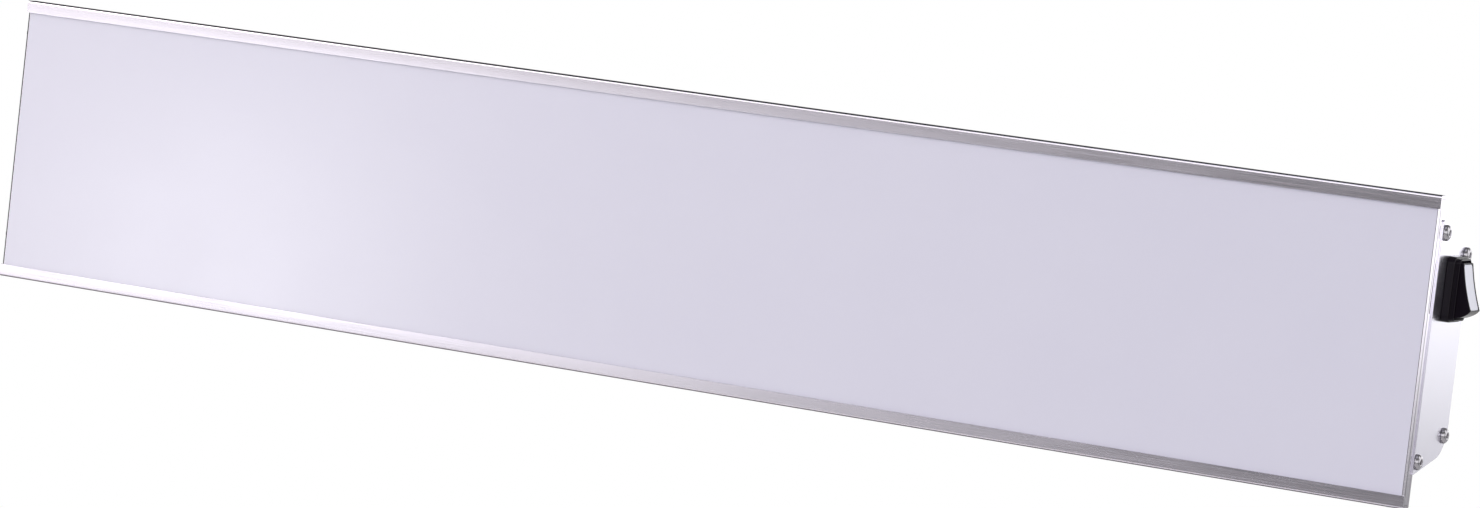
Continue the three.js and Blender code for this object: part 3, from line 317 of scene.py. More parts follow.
def make_materials():
    made = {
        # Extruded, brushed along its length and clear anodised: fine lines that blur what they
        # mirror up and down, but keep it sharp along the heater. Real lines are about 0.05 mm
        # wide, and are drawn ten times as wide here so that they show.
        "housing": finish(
            "brushed_anodised_aluminium",
            ("d3ced9", "dbd6e1"),
            clouds=(140.0, 25.0, 25.0),
            grain=(60.0, 0.5, 0.5),
            roughness=(0.17, 0.27),
            depth=0.004,
            detail=4.0,
            Metallic=1.0,
        ),
        # Sawn square and polished, as the side bars are: nearly a mirror, with faint saw lines
        "sawn_end": finish(
            "polished_aluminium_end",
            ("e4e0ea", "eae6ee"),
            clouds=(12.0, 9.0, 9.0),
            grain=(0.4, 9.0, 0.5),
            roughness=(0.05, 0.11),
            depth=0.001,
            detail=2.0,
            Metallic=1.0,
        ),
        # Rolled sheet with a satin anodised face: it mirrors the switch beside it as a soft blur
        "end_plate": finish(
            "satin_anodised_sheet",
            ("e4e2ee", "eae8f2"),
            clouds=(20.0, 18.0, 30.0),
            grain=(0.4, 0.6, 40.0),
            roughness=(0.21, 0.25),
            depth=0.001,
            Metallic=1.0,
        ),
        # Opaque white glass-ceramic, rolled and then fired: glossy, with a slight ripple that
        # bends what it mirrors, over a milky body with faint cloudy shades
        "glass": finish(
            "rolled_white_glass_ceramic",
            ("cbcadb", "cecddd"),
            clouds=(90.0, 90.0, 60.0),
            grain=(45.0, 45.0, 30.0),
            roughness=(0.11, 0.13),
            depth=0.02,
            detail=1.0,
            IOR=1.54,
            Subsurface_Weight=0.12,
            Subsurface_Radius=(1.2 * MM, 1.2 * MM, 1.3 * MM),
        ),
        # Cold-formed and tumbled bright: sharp reflections with tiny dents
        "screw": finish(
            "tumbled_stainless_steel",
            ("a3a0a6", "aeabb0"),
            clouds=(3.0, 3.0, 3.0),
            grain=(0.7, 0.7, 0.7),
            roughness=(0.1, 0.2),
            depth=0.004,
            detail=2.0,
            Metallic=1.0,
        ),
        # Black polyamide, moulded in a polished tool: deep black and glossy, so that only its
        # edges catch the light, with faint flow marks
        "black_plastic": finish(
            "moulded_black_polyamide",
            ("110c14", "151018"),
            clouds=(3.0, 3.0, 9.0),
            grain=(0.4, 0.4, 0.4),
            roughness=(0.13, 0.2),
            depth=0.002,
            detail=2.0,
            IOR=1.53,
            Specular_IOR_Level=0.12,
        ),
        # Light grey polycarbonate, moulded with a fine spark-eroded grain: a soft sheen
        "grey_plastic": finish(
            "moulded_grey_polycarbonate",
            ("c9c9d7", "cdcdda"),
            clouds=(6.0, 6.0, 6.0),
            grain=(0.2, 0.2, 0.2),
            roughness=(0.3, 0.42),
            depth=0.005,
            detail=2.0,
            IOR=1.58,
        ),
        # Black glass-filled polyamide, moulded: dull, with a mineral grain
        "gland": finish(
            "moulded_glass_filled_polyamide",
            ("151516", "222224"),
            clouds=(2.0, 2.0, 2.0),
            grain=(0.5, 0.5, 0.5),
            roughness=(0.42, 0.58),
            depth=0.012,
            detail=5.0,
            IOR=1.53,
        ),
        # Black chloroprene, pressed: matte, with a dusty bloom
        "rubber": finish(
            "pressed_chloroprene_rubber",
            ("171718", "2a2a2b"),
            clouds=(1.5, 1.5, 1.5),
            grain=(0.8, 0.8, 0.8),
            roughness=(0.7, 0.88),
            depth=0.02,
            detail=5.0,
            IOR=1.52,
        ),
        # Bright-dipped sheet, folded into bays: a mirror with faint rolling lines
        "reflector": finish(
            "bright_dipped_aluminium_sheet",
            ("e9e9ee", "efeff2"),
            clouds=(60.0, 15.0, 15.0),
            grain=(50.0, 0.5, 0.5),
            roughness=(0.04, 0.1),
            depth=0.001,
            Metallic=1.0,
        ),
        # Punched sheet, left as rolled: greyer, with streaks along the rolling direction
        "bracket": finish(
            "mill_finish_aluminium_sheet",
            ("bbbbc0", "cdcdd0"),
            clouds=(1.0, 1.0, 18.0),
            grain=(0.6, 0.6, 18.0),
            roughness=(0.3, 0.45),
            depth=0.003,
            detail=4.0,
            Metallic=1.0,
        ),
        # Unglazed steatite, pressed and fired: chalky, with tiny pits
        "ceramic": finish(
            "fired_steatite",
            ("e2ddd1", "f1eee6"),
            clouds=(2.0, 2.0, 2.0),
            grain=(0.6, 0.6, 0.6),
            roughness=(0.5, 0.68),
            depth=0.02,
            detail=5.0,
            IOR=1.6,
        ),
        # Drawn quartz tube: clear, with faint draw lines along it
        "quartz": finish(
            "drawn_quartz_glass",
            ("f2f6f8", "f6f8fa"),
            clouds=(120.0, 4.0, 4.0),
            grain=(80.0, 0.8, 0.8),
            roughness=(0.01, 0.04),
            depth=0.003,
            IOR=1.46,
            Transmission_Weight=1.0,
        ),
        # Carbon fibre ribbon, woven and twisted: matte black with a silky lengthwise grain
        "carbon": finish(
            "woven_carbon_ribbon",
            ("1c1c1e", "3a3a3d"),
            clouds=(2.4, 0.6, 0.6),
            grain=(1.2, 0.3, 0.3),
            roughness=(0.5, 0.75),
            depth=0.03,
            detail=4.0,
            IOR=1.7,
        ),
        # Ceramic fibre, pressed to a board: off-white, soft and fibrous
        "board": finish(
            "pressed_ceramic_fibre_board",
            ("ddd6c6", "efebe1"),
            clouds=(5.0, 1.5, 5.0),
            grain=(2.5, 0.6, 2.5),
            roughness=(0.85, 0.97),
            depth=0.15,
            detail=6.0,
            IOR=1.5,
        ),
        # Turned brass, slightly dulled by handling
        "brass": finish(
            "turned_brass",
            ("b8934a", "d9b76c"),
            clouds=(1.5, 1.5, 1.5),
            grain=(0.3, 0.3, 0.3),
            roughness=(0.2, 0.4),
            depth=0.002,
            detail=4.0,
            Metallic=1.0,
        ),
        # Woven sleeve and tape: the second, lighter colour of each is painted on the raised threads and
        # the first between them, as painted shade
        "sleeve": woven_glass_fibre("braided_glass_fibre_sleeve", ("cfc8b8", "e6e0d2"), 0.6),
        "fibre_tape": woven_glass_fibre("woven_glass_fibre_tape", ("a9a59b", "c6c2b8"), 0.8),
    }
    made["side_bar"] = made["sawn_end"]
    return made


# Shapes
def section_place(depth, height, along=0.0):
    """A point of the section as a place in the part's frame, in millimetres."""
    return Vector((along, depth - HOUSING_DEPTH, height))


def arc(centre, radius, start, end, steps):
    """Points on an arc, both ends included, with its angles in degrees."""
    points = []
    for step in range(steps + 1):
        angle = math.radians(start + (end - start) * step / steps)
        points.append((centre[0] + radius * math.cos(angle), centre[1] + radius * math.sin(angle)))
    return points


def rounded_outline(half_width, half_height, radius, centre=(0.0, 0.0), steps=8):
    """A rounded rectangle's outline."""
    points = []
    for turn, (side, level) in enumerate([(1, 1), (-1, 1), (-1, -1), (1, -1)]):
        corner = (
            centre[0] + side * (half_width - radius),
            centre[1] + level * (half_height - radius),
        )
        points += arc(corner, radius, 90 * turn, 90 * turn + 90, steps)
    return points


def prism(outlines, start, end):
    """A mesh between two places on its third axis, from an outer outline and its holes."""
    made = bmesh.new()
    flat = [point for outline in outlines for point in outline]
    lower = [made.verts.new((first, second, start)) for first, second in flat]
    upper = [made.verts.new((first, second, end)) for first, second in flat]
    loops = [[Vector((first, second, 0.0)) for first, second in outline] for outline in outlines]
    for triangle in tessellate_polygon(loops):
        made.faces.new([lower[index] for index in triangle])
        made.faces.new([upper[index] for index in reversed(triangle)])
    first = 0
    for outline in outlines:
        count = len(outline)
        for index in range(count):
            here, after = first + index, first + (index + 1) % count
            made.faces.new([lower[here], lower[after], upper[after], upper[here]])
        first += count
    bmesh.ops.recalc_face_normals(made, faces=made.faces)
    return made


def ring_mesh(rings, closed):
    """A mesh from ring to ring of equally many points, and back to the first one if closed;
    returns it with its rows of points."""
    made = bmesh.new()
    rows = [[made.verts.new(point) for point in ring] for ring in rings]
    following_rows = rows[1:] + rows[:1] if closed else rows[1:]
    for row, following in zip(rows, following_rows):
        for index in range(len(row)):
            after = (index + 1) % len(row)
            made.faces.new([row[index], row[after], following[after], following[index]])
    return made, rows


def closed_skin(rings):
    """A ring-shaped mesh: a skin through rings that comes back to the first one."""
    made, _ = ring_mesh(rings, closed=True)
    bmesh.ops.recalc_face_normals(made, faces=made.faces)
    return made


def skin(rings, mirrored=False):
    """A closed mesh through rings, capped at both ends: with one flat face, or, if the rings'
    halves mirror each other, with strips from side to side."""
    made, rows = ring_mesh(rings, closed=False)
    for row in (rows[0], rows[-1]):
        if mirrored:
            for index in range(len(row) // 2 - 1):
                across = -1 - index
                made.faces.new([row[index], row[index + 1], row[across - 1], row[across]])
        else:
            made.faces.new(row)
    bmesh.ops.recalc_face_normals(made, faces=made.faces)
    return made


def round_ring(radius, out):
    """A circle round the outward axis."""
    return [(out, first, second) for first, second in arc((0, 0), radius, 0, 360, ROUND)[:-1]]


def hexagon_ring(across, out):
    """A hexagon with as many points as a circle has."""
    ring = []
    for index in range(ROUND):
        angle = 2 * math.pi * index / ROUND
        from_flat = (angle + math.pi / 6) % (math.pi / 3) - math.pi / 6
        reach = across / 2 / math.cos(from_flat)
        ring.append((out, reach * math.cos(angle), reach * math.sin(angle)))
    return ring


def rounded_ring(size, out):
    """A rounded rectangle across the outward axis, from half its width and height and its radius."""
    return [(out, *point) for point in rounded_outline(*size)]


def grown(size, margin):
    """Half width, half height and radius of a rounded rectangle that is wider all round."""
    return [part + margin for part in size]


def rounded_front(size, out, edge, steps=6):
    """Rings that round a rounded rectangle's side over into its front face at out."""
    rings = []
    for step in range(steps + 1):
        angle = math.pi / 2 * step / steps
        drawn_in = edge * (1 - math.cos(angle))
        rings.append(rounded_ring(grown(size, -drawn_in), out - edge * (1 - math.sin(angle))))
    return rings


# How the three axes of a shape lie in the part's frame
ALONG_HEATER = Matrix(((0, 0, 1, 0), (1, 0, 0, 0), (0, 1, 0, 0), (0, 0, 0, 1)))
THROUGH_DEPTH = Matrix(((1, 0, 0, 0), (0, 0, 1, 0), (0, 1, 0, 0), (0, 0, 0, 1)))
UPWARDS = Matrix.Identity(4)


def add_piece(name, shape, place, material, stands_for, edge=0.0, body="heater", sharp=32):
    """Turns a shape in millimetres into a piece that stands for a CAD node of the part."""
    mesh = bpy.data.meshes.new(name)
    shape.to_mesh(mesh)
    shape.free()
    mesh.transform(Matrix.Scale(MM, 4) @ place)
    if place.determinant() < 0:
        mesh.flip_normals()
    mesh.polygons.foreach_set("use_smooth", [True] * len(mesh.polygons))
    mesh.set_sharp_from_angle(angle=math.radians(sharp))
    mesh.materials.append(material)
    piece = bpy.data.objects.new(name, mesh)
    bpy.context.scene.collection.objects.link(piece)
    if edge:
        rounding = piece.modifiers.new("rounded_edges", "BEVEL")
        rounding.width = edge * MM
        rounding.segments = 3
        rounding.limit_method = "ANGLE"
        rounding.angle_limit = math.radians(sharp)
        rounding.harden_normals = True
        rounding.miter_outer = "MITER_ARC"
    else:
        flatness = piece.modifiers.new("flat_faces", "WEIGHTED_NORMAL")
        flatness.keep_sharp = True
    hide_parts(stands_for)
    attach(piece, body)
    return piece


# Housing: one extrusion with channels for the glass, the screws and the mounting bolts
def side_height(depth, offset):
    """Height of the trough's sloping side at a depth, grown outwards by an offset."""
    at_frame = TROUGH_HALF_HEIGHT + offset / math.cos(SIDE_LEAN)
    return at_frame - math.tan(SIDE_LEAN) * (depth - FRAME_DEPTH)


CORNER_DEPTH = HOUSING_DEPTH - CORNER_RADIUS
CORNER_HEIGHT = side_height(CORNER_DEPTH, -CORNER_RADIUS)
SIDE_ANGLE = 90 - math.degrees(SIDE_LEAN)


def screw_channel(place, enter, leave):
    """Open channel round a screw: out from the wall, in through its slit and round its bore."""
    depth, height = place
    slit_angle = math.degrees(math.atan2(SECTION_MIDDLE[1] - height, SECTION_MIDDLE[0] - depth))
    outer_half = math.degrees(math.asin(SCREW_SLIT_HALF / SCREW_CHANNEL))
    inner_half = math.degrees(math.asin(SCREW_SLIT_HALF / SCREW_BORE))
    bore_start, bore_end = slit_angle - inner_half, slit_angle + inner_half - 360
    points = arc(place, SCREW_CHANNEL, enter, slit_angle - outer_half, CHANNEL_STEPS)
    points += arc(place, SCREW_BORE, bore_start, bore_end, BORE_STEPS)
    points += arc(place, SCREW_CHANNEL, slit_angle + outer_half, leave, CHANNEL_STEPS)
    return points


def half_section(top):
    """Outline of the upper half of the section, from the outer middle of the back round the
    front frame, whose top is given, to the inner middle of the back."""
    back, inner_back = HOUSING_DEPTH, HOUSING_DEPTH - WALL
    slot_front = back - SLOT_LIP - SLOT_DEPTH
    slot_back = back - SLOT_LIP
    near_mouth, far_mouth = SLOT_HEIGHT - SLOT_MOUTH_HALF_WIDTH, SLOT_HEIGHT + SLOT_MOUTH_HALF_WIDTH
    near_slot, far_slot = SLOT_HEIGHT - SLOT_HALF_WIDTH, SLOT_HEIGHT + SLOT_HALF_WIDTH
    points = [(back, near_mouth), (slot_back, near_mouth), (slot_back, near_slot)]
    points += [(slot_front, near_slot), (slot_front, far_slot), (slot_back, far_slot)]
    points += [(slot_back, far_mouth), (back, far_mouth)]
    corner = (CORNER_DEPTH, CORNER_HEIGHT)
    points += arc(corner, CORNER_RADIUS, 0, SIDE_ANGLE, CORNER_STEPS)
    points.append((FRAME_DEPTH, side_height(FRAME_DEPTH, 0)))
    radius = FRAME_EDGE_RADIUS
    points += arc((FRAME_DEPTH - radius, top - radius), radius, 0, 90, EDGE_STEPS)
    points += arc((radius, top - radius), radius, 90, 180, EDGE_STEPS)
    points += [(0, top - LIP_HEIGHT), (LIP_THICKNESS, top - LIP_HEIGHT)]
    points += [(LIP_THICKNESS, top - FRAME_WEB), (FRAME_BACK_FRONT, top - FRAME_WEB)]
    front_screw, rear_screw = SCREW_PLACES[0], SCREW_PLACES[1]
    reach = front_screw[0] - FRAME_BACK_FRONT
    enter = 180 + math.degrees(math.acos(reach / SCREW_CHANNEL))
    points += screw_channel(front_screw, enter, FRONT_CHANNEL_LEAVES)
    tip = side_height(LEDGE_FRONT, -WALL) - LEDGE_WIDTH
    ledge_back = LEDGE_FRONT + LEDGE_THICKNESS
    points += [(LEDGE_FRONT, side_height(LEDGE_FRONT, -WALL)), (LEDGE_FRONT, tip)]
    points += [(ledge_back, tip), (ledge_back, side_height(ledge_back, -WALL))]
    before_screw, after_screw, at_back = INNER_CORNER_STOPS
    inner_radius = CORNER_RADIUS - WALL
    points += arc(corner, inner_radius, SIDE_ANGLE, before_screw, CHANNEL_STEPS)
    points += screw_channel(rear_screw, REAR_CHANNEL_ENTERS, REAR_CHANNEL_LEAVES)
    points += arc(corner, inner_radius, after_screw, at_back, INNER_CORNER_STEPS)
    hat_front = slot_front - WALL
    near_hat, far_hat = near_slot - WALL, far_slot + WALL
    points += [(inner_back, far_hat), (hat_front, far_hat)]
    points += [(hat_front, near_hat), (inner_back, near_hat)]
    return points


def add_housing(materials):
    upper = half_section(FRAME_HALF_HEIGHT - FRAME_DROP)
    lower = [(depth, -height) for depth, height in half_section(FRAME_HALF_HEIGHT + FRAME_DROP)]
    outline = [(depth - HOUSING_DEPTH, height) for depth, height in upper + lower[::-1]]
    shape = prism([outline], -HALF_LENGTH, HALF_LENGTH)
    piece = add_piece(
        "extruded_housing",
        shape,
        ALONG_HEATER,
        materials["housing"],
        "housing",
        edge=HOUSING_EDGE,
    )
    piece.data.materials.append(materials["sawn_end"])
    for polygon in piece.data.polygons:
        if abs(polygon.normal.x) > 0.9:
            polygon.material_index = 1


def add_glass(materials):
    half_length = HALF_LENGTH - SIDE_BAR_THICKNESS - PIECE_GAP
    half_height = FRAME_HALF_HEIGHT - FRAME_WEB - PIECE_GAP
    outline = rounded_outline(half_length, half_height, GLASS_CORNER, (0.0, -FRAME_DROP))
    front = GLASS_FRONT - HOUSING_DEPTH
    shape = prism([outline], front, front + GLASS_THICKNESS)
    add_piece(
        "glass_ceramic_panel",
        shape,
        THROUGH_DEPTH,
        materials["glass"],
        "glass_panel",
        edge=GLASS_EDGE,
    )


def add_side_bars(materials):
    half_height = FRAME_HALF_HEIGHT - FRAME_WEB - PIECE_GAP
    leg_front = SIDE_BAR_BACK - SIDE_BAR_LEG_THICKNESS
    for name, side in (("right", 1), ("left", -1)):
        outside = side * HALF_LENGTH
        inside = side * (HALF_LENGTH - SIDE_BAR_THICKNESS - PIECE_GAP + SIDE_BAR_SEAM)
        leg_end = side * (HALF_LENGTH - SIDE_BAR_LEG)
        outer_centre = (HALF_LENGTH - SIDE_BAR_ROUND, GLASS_FRONT + SIDE_BAR_ROUND)
        front = arc(outer_centre, SIDE_BAR_ROUND, 0, -90, BAR_STEPS)
        outline = [(side * along, depth) for along, depth in front]
        outline += [(inside, GLASS_FRONT), (inside, leg_front), (leg_end, leg_front)]
        outline += [(leg_end, SIDE_BAR_BACK), (outside, SIDE_BAR_BACK)]
        placed = [(along, depth - HOUSING_DEPTH) for along, depth in outline]
        shape = prism([placed], -FRAME_DROP - half_height, half_height - FRAME_DROP)
        add_piece(
            f"side_angle_bar_{name}",
            shape,
            UPWARDS,
            materials["side_bar"],
            f"side_bar_{name}",
            edge=SIDE_BAR_EDGE,
        )


# End plates: satin sheet to the trough's outline, with the screw holes and one opening
def end_plate_outline():
    upper = arc((CORNER_DEPTH, CORNER_HEIGHT), CORNER_RADIUS, 0, SIDE_ANGLE, CORNER_STEPS)
    radius = PLATE_FRONT_RADIUS
    front_corner = (PLATE_FRONT + radius, side_height(PLATE_FRONT, 0) - radius)
    upper += arc(front_corner, radius, SIDE_ANGLE, 180, EDGE_STEPS)
    return upper + [(depth, -height) for depth, height in upper[::-1]]


def add_end_plate(name, side, opening, material):
    holes = [arc(place, SCREW_BORE, 0, 360, HOLE_ROUND)[:-1] for place in SCREW_PLACES]
    loops = [end_plate_outline(), *holes, opening]
    placed = [[(depth - HOUSING_DEPTH, height) for depth, height in loop] for loop in loops]
    near, far = side * (HALF_LENGTH + PLATE_SEAM), side * PLATE_OUTER
    shape = prism(placed, min(near, far), max(near, far))
    add_piece(
        f"end_cover_{name}",
        shape,
        ALONG_HEATER,
        material,
        f"end_plate_{name}",
        edge=PLATE_EDGE,
    )


def add_end_plates(materials):
    half_width, half_height, radius = SWITCH_BODY
    switch_opening = rounded_outline(
        half_width + PIECE_GAP, half_height + PIECE_GAP, radius, SWITCH_PLACE
    )
    gland_opening = arc(GLAND_PLACE, GLAND_THREAD + PIECE_GAP, 0, 360, ROUND)[:-1]
    add_end_plate("right", 1, switch_opening, materials["end_plate"])
    add_end_plate("left", -1, gland_opening, materials["end_plate"])


def end_place(side, depth, height, out=0.0):
    """Where a piece sits on an end plate, with its own X axis pointing outwards."""
    turn = Matrix.Rotation(0 if side > 0 else math.pi, 4, "Z")
    spot = section_place(depth, height, side * (PLATE_OUTER + out))
    return Matrix.Translation(spot) @ turn


def button_head_screw():
    """Screw with its shank pointing inwards and its head outwards."""
    rings = [
        round_ring(SCREW_TIP_RADIUS, -SCREW_LENGTH),
        round_ring(SCREW_RADIUS, SCREW_TIP_TAPER - SCREW_LENGTH),
        round_ring(SCREW_RADIUS, -SCREW_NECK),
        round_ring(SCREW_RADIUS + SCREW_NECK, 0.0),
        round_ring(SCREW_SEAT_RADIUS, 0.0),
        round_ring(*SCREW_HEAD_UNDEREDGE),
    ]
    across, rise = SCREW_HEAD_RADIUS - SCREW_HEAD_TOP_RADIUS, SCREW_HEAD_HEIGHT - SCREW_HEAD_RIM
    for step in range(DOME_STEPS + 1):
        angle = math.pi / 2 * step / DOME_STEPS
        radius = SCREW_HEAD_TOP_RADIUS + across * math.cos(angle)
        rings.append(round_ring(radius, SCREW_HEAD_RIM + rise * math.sin(angle)))
    mouth = SCREW_SOCKET_FRONT + SCREW_SOCKET_CHAMFER
    rings += [
        round_ring(SCREW_SOCKET_MOUTH_RADIUS, SCREW_HEAD_HEIGHT),
        hexagon_ring(SCREW_SOCKET + SCREW_SOCKET_CHAMFER, mouth),
        hexagon_ring(SCREW_SOCKET, SCREW_SOCKET_FRONT),
        hexagon_ring(SCREW_SOCKET, SCREW_SOCKET_BOTTOM),
        round_ring(*SCREW_SOCKET_POINT),
    ]
    return skin(rings)


def add_end_screws(materials):
    for name, side in (("right", 1), ("left", -1)):
        for index, (depth, height) in enumerate(SCREW_PLACES):
            add_piece(
                f"button_head_screw_{name}_{index + 1}",
                button_head_screw(),
                end_place(side, depth, height, SEAT_GAP),
                materials["screw"],
                f"end_screw_{name}_{index + 1}",
            )


# Switch: flange and collar round a pocket, with the tilting rocker in it
def add_switch(materials):
    under_flange = SEAT_GAP + SWITCH_CHAMFER
    rings = [
        rounded_ring(SWITCH_BODY, -SWITCH_BODY_LENGTH),
        rounded_ring(SWITCH_BODY, SEAT_GAP),
        rounded_ring(grown(SWITCH_FLANGE, -SWITCH_CHAMFER), SEAT_GAP),
        rounded_ring(SWITCH_FLANGE, under_flange),
        *rounded_front(SWITCH_FLANGE, SWITCH_FLANGE_THICKNESS, SWITCH_FLANGE_EDGE),
        rounded_ring(grown(SWITCH_COLLAR, SWITCH_CHAMFER), SWITCH_FLANGE_THICKNESS),
        rounded_ring(SWITCH_COLLAR, SWITCH_FLANGE_THICKNESS + SWITCH_CHAMFER),
        *rounded_front(SWITCH_COLLAR, SWITCH_COLLAR_TOP, SWITCH_COLLAR_EDGE),
        rounded_ring(grown(SWITCH_POCKET, SWITCH_CHAMFER), SWITCH_COLLAR_TOP),
        rounded_ring(SWITCH_POCKET, SWITCH_COLLAR_TOP - SWITCH_CHAMFER),
        rounded_ring(SWITCH_POCKET, SWITCH_POCKET_FLOOR),
    ]
    add_piece(
        "switch_body",
        skin(rings),
        end_place(1, *SWITCH_PLACE),
        materials["black_plastic"],
        "switch_housing",
    )


def dished_ring(size, depth, steps=8, side_steps=12):
    """A rounded rectangle that lies a depth below the rocker's dished face: down its right side
    from the top and up its left side, so that opposite points are at one height."""
    half_width, half_height, radius = size
    straight = half_height - radius
    side = arc((half_width - radius, straight), radius, 90, 0, steps)
    for step in range(1, side_steps):
        side.append((half_width, straight * (1 - 2 * step / side_steps)))
    side += arc((half_width - radius, -straight), radius, 0, -90, steps)
    side += [(-across, height) for across, height in reversed(side)]
    _, end_height, _ = ROCKER_OUTLINE
    dish_radius = (end_height ** 2 + ROCKER_DISH ** 2) / (2 * ROCKER_DISH)
    middle = ROCKER_FACE_OUT - ROCKER_DISH + dish_radius - depth
    return [
        (middle - math.sqrt(dish_radius ** 2 - height ** 2), across, height)
        for across, height in side
    ]


def dished_front(size, depth, edge, steps=5):
    """Rings that round a rocker piece's side over into its dished front, a depth below the face."""
    rings = []
    for step in range(steps + 1):
        angle = math.pi / 2 * step / steps
        drawn_in = edge * (1 - math.cos(angle))
        rings.append(dished_ring(grown(size, -drawn_in), depth + edge * (1 - math.sin(angle))))
    return rings


def flat_ring(ring, out, half_height):
    """The ring's outline laid flat at a place on the outward axis, with another half height."""
    stretch = half_height / max(height for _, _, height in ring)
    return [(out, across, height * stretch) for _, across, height in ring]


def add_rocker(materials):
    pivot = end_place(1, *SWITCH_PLACE, ROCKER_PIVOT_OUT)
    tilted = pivot @ Matrix.Rotation(-ROCKER_TILT, 4, "Y")
    _, end_height, _ = ROCKER_OUTLINE
    sweep = math.hypot(ROCKER_FACE_OUT, end_height)
    front = dished_front(ROCKER_OUTLINE, 0.0, ROCKER_EDGE)
    side_length = ROCKER_SKIRT_IN + ROCKER_FACE_OUT - ROCKER_SIDE_END
    rings = []
    for step in range(ROCKER_SIDE_RINGS):
        out = side_length * step / (ROCKER_SIDE_RINGS - 1) - ROCKER_SKIRT_IN
        rings.append(flat_ring(front[0], out, math.sqrt(sweep ** 2 - out ** 2)))
    rings += front
    rings.append(dished_ring(grown(ROCKER_RECESS, ROCKER_RECESS_CHAMFER), 0.0))
    rings.append(dished_ring(ROCKER_RECESS, ROCKER_RECESS_CHAMFER))
    rings.append(dished_ring(ROCKER_RECESS, ROCKER_RECESS_DEPTH))
    add_piece(
        "rocker_body",
        skin(rings, mirrored=True),
        tilted,
        materials["black_plastic"],
        "rocker",
        body="rocker",
    )
    rings = [dished_ring(ROCKER_PLATE, ROCKER_PLATE_BACK)]
    rings += dished_front(ROCKER_PLATE, ROCKER_PLATE_FRONT, ROCKER_PLATE_EDGE)
    add_piece(
        "rocker_face_plate",
        skin(rings, mirrored=True),
        tilted,
        materials["grey_plastic"],
        "rocker_face",
        body="rocker",
    )


# Cable gland on the left end plate
def gland_thread_body():
    """Thread through the end plate, hexagon on it and neck under the cap."""
    across, along = GLAND_CHAMFER
    small_hexagon = GLAND_HEXAGON - 2 * across
    return closed_skin([
        round_ring(GLAND_PASSAGE, -GLAND_THREAD_LENGTH),
        round_ring(GLAND_THREAD - across, -GLAND_THREAD_LENGTH),
        round_ring(GLAND_THREAD, along - GLAND_THREAD_LENGTH),
        round_ring(GLAND_THREAD, SEAT_GAP),
        hexagon_ring(small_hexagon, SEAT_GAP),
        hexagon_ring(GLAND_HEXAGON, SEAT_GAP + along),
        hexagon_ring(GLAND_HEXAGON, GLAND_HEXAGON_TOP - along),
        hexagon_ring(small_hexagon, GLAND_HEXAGON_TOP),
        round_ring(GLAND_THREAD, GLAND_HEXAGON_TOP),
        round_ring(GLAND_THREAD, GLAND_NECK_TOP - GLAND_NECK_CHAMFER),
        round_ring(GLAND_THREAD - GLAND_NECK_CHAMFER, GLAND_NECK_TOP),
        round_ring(GLAND_SEAL_POCKET, GLAND_NECK_TOP),
        round_ring(GLAND_SEAL_POCKET, GLAND_HEXAGON_TOP),
        round_ring(GLAND_PASSAGE, GLAND_HEXAGON_TOP),
    ])


def gland_cap_nut():
    """Hexagon over the neck, with a dome down to the cable's passage."""
    across, along = GLAND_CHAMFER
    start, shoulder = GLAND_HEXAGON_TOP + PIECE_GAP, GLAND_NECK_TOP + PIECE_GAP
    inner = GLAND_THREAD + PIECE_GAP
    top = shoulder + GLAND_CAP_DOME_HEIGHT
    rings = [
        round_ring(inner, start),
        hexagon_ring(GLAND_CAP_HEXAGON - 2 * across, start),
        hexagon_ring(GLAND_CAP_HEXAGON, start + along),
        hexagon_ring(GLAND_CAP_HEXAGON, shoulder - along),
        hexagon_ring(GLAND_CAP_HEXAGON - across, shoulder),
    ]
    for step in range(CAP_STEPS + 1):
        angle = math.pi / 2 * step / CAP_STEPS
        radius = GLAND_CAP_SHOULDER - GLAND_CAP_DOME * (1 - math.cos(angle))
        rings.append(round_ring(radius, shoulder + GLAND_CAP_DOME_HEIGHT * math.sin(angle)))
    rings += [
        round_ring(GLAND_PASSAGE + GLAND_NECK_CHAMFER, top),
        round_ring(GLAND_PASSAGE, top - GLAND_NECK_CHAMFER),
        round_ring(GLAND_PASSAGE, shoulder),
        round_ring(inner, shoulder),
    ]
    return closed_skin(rings)


def gland_seal_ring():
    """Rubber ring in the neck, with a chamfer where the cable goes in."""
    return closed_skin([
        round_ring(GLAND_SEAL_HOLE, GLAND_HEXAGON_TOP + SEAT_GAP),
        round_ring(GLAND_SEAL_POCKET - PIECE_GAP, GLAND_HEXAGON_TOP + SEAT_GAP),
        round_ring(GLAND_SEAL_POCKET - PIECE_GAP, GLAND_SEAL_TOP),
        round_ring(GLAND_SEAL_HOLE + GLAND_NECK_CHAMFER, GLAND_SEAL_TOP),
        round_ring(GLAND_SEAL_HOLE, GLAND_SEAL_TOP - GLAND_NECK_CHAMFER),
    ])


def add_gland(materials):
    place = end_place(-1, *GLAND_PLACE)
    pieces = [
        ("gland_thread_body", gland_thread_body(), "gland", "gland_plastic", "gland_body"),
        ("gland_cap_nut", gland_cap_nut(), "gland", "gland_plastic", "gland_cap"),
        ("gland_seal_ring", gland_seal_ring(), "rubber", "gland_rubber", "gland_seal"),
    ]
    for name, shape, material, slot, stands_for in pieces:
        add_piece(name, shape, place, materials[material], stands_for)


# CAD nodes that stay as they are, with the finish of the real piece
def finish_inner_pieces(materials):
    finishes = {
        "gasket": "fibre_tape",
        "reflector": "reflector",
        "insulation": "board",
        "lamp_bracket": "bracket",
        "lamp_base": "ceramic",
        "lamp_tube": "quartz",
        "lamp_filament": "carbon",
        "lamp_lead": "sleeve",
        "lamp_link": "sleeve",
        "switch_wire": "sleeve",
        "switch_terminal": "brass",
        "terminal_block": "ceramic",
        "terminal_screw": "brass",
        "gland_locknut": "gland",
    }
    for start, material in finishes.items():
        for name, node in nodes.items():
            if name.startswith(start):
                node.data.materials.clear()
                node.data.materials.append(materials[material])


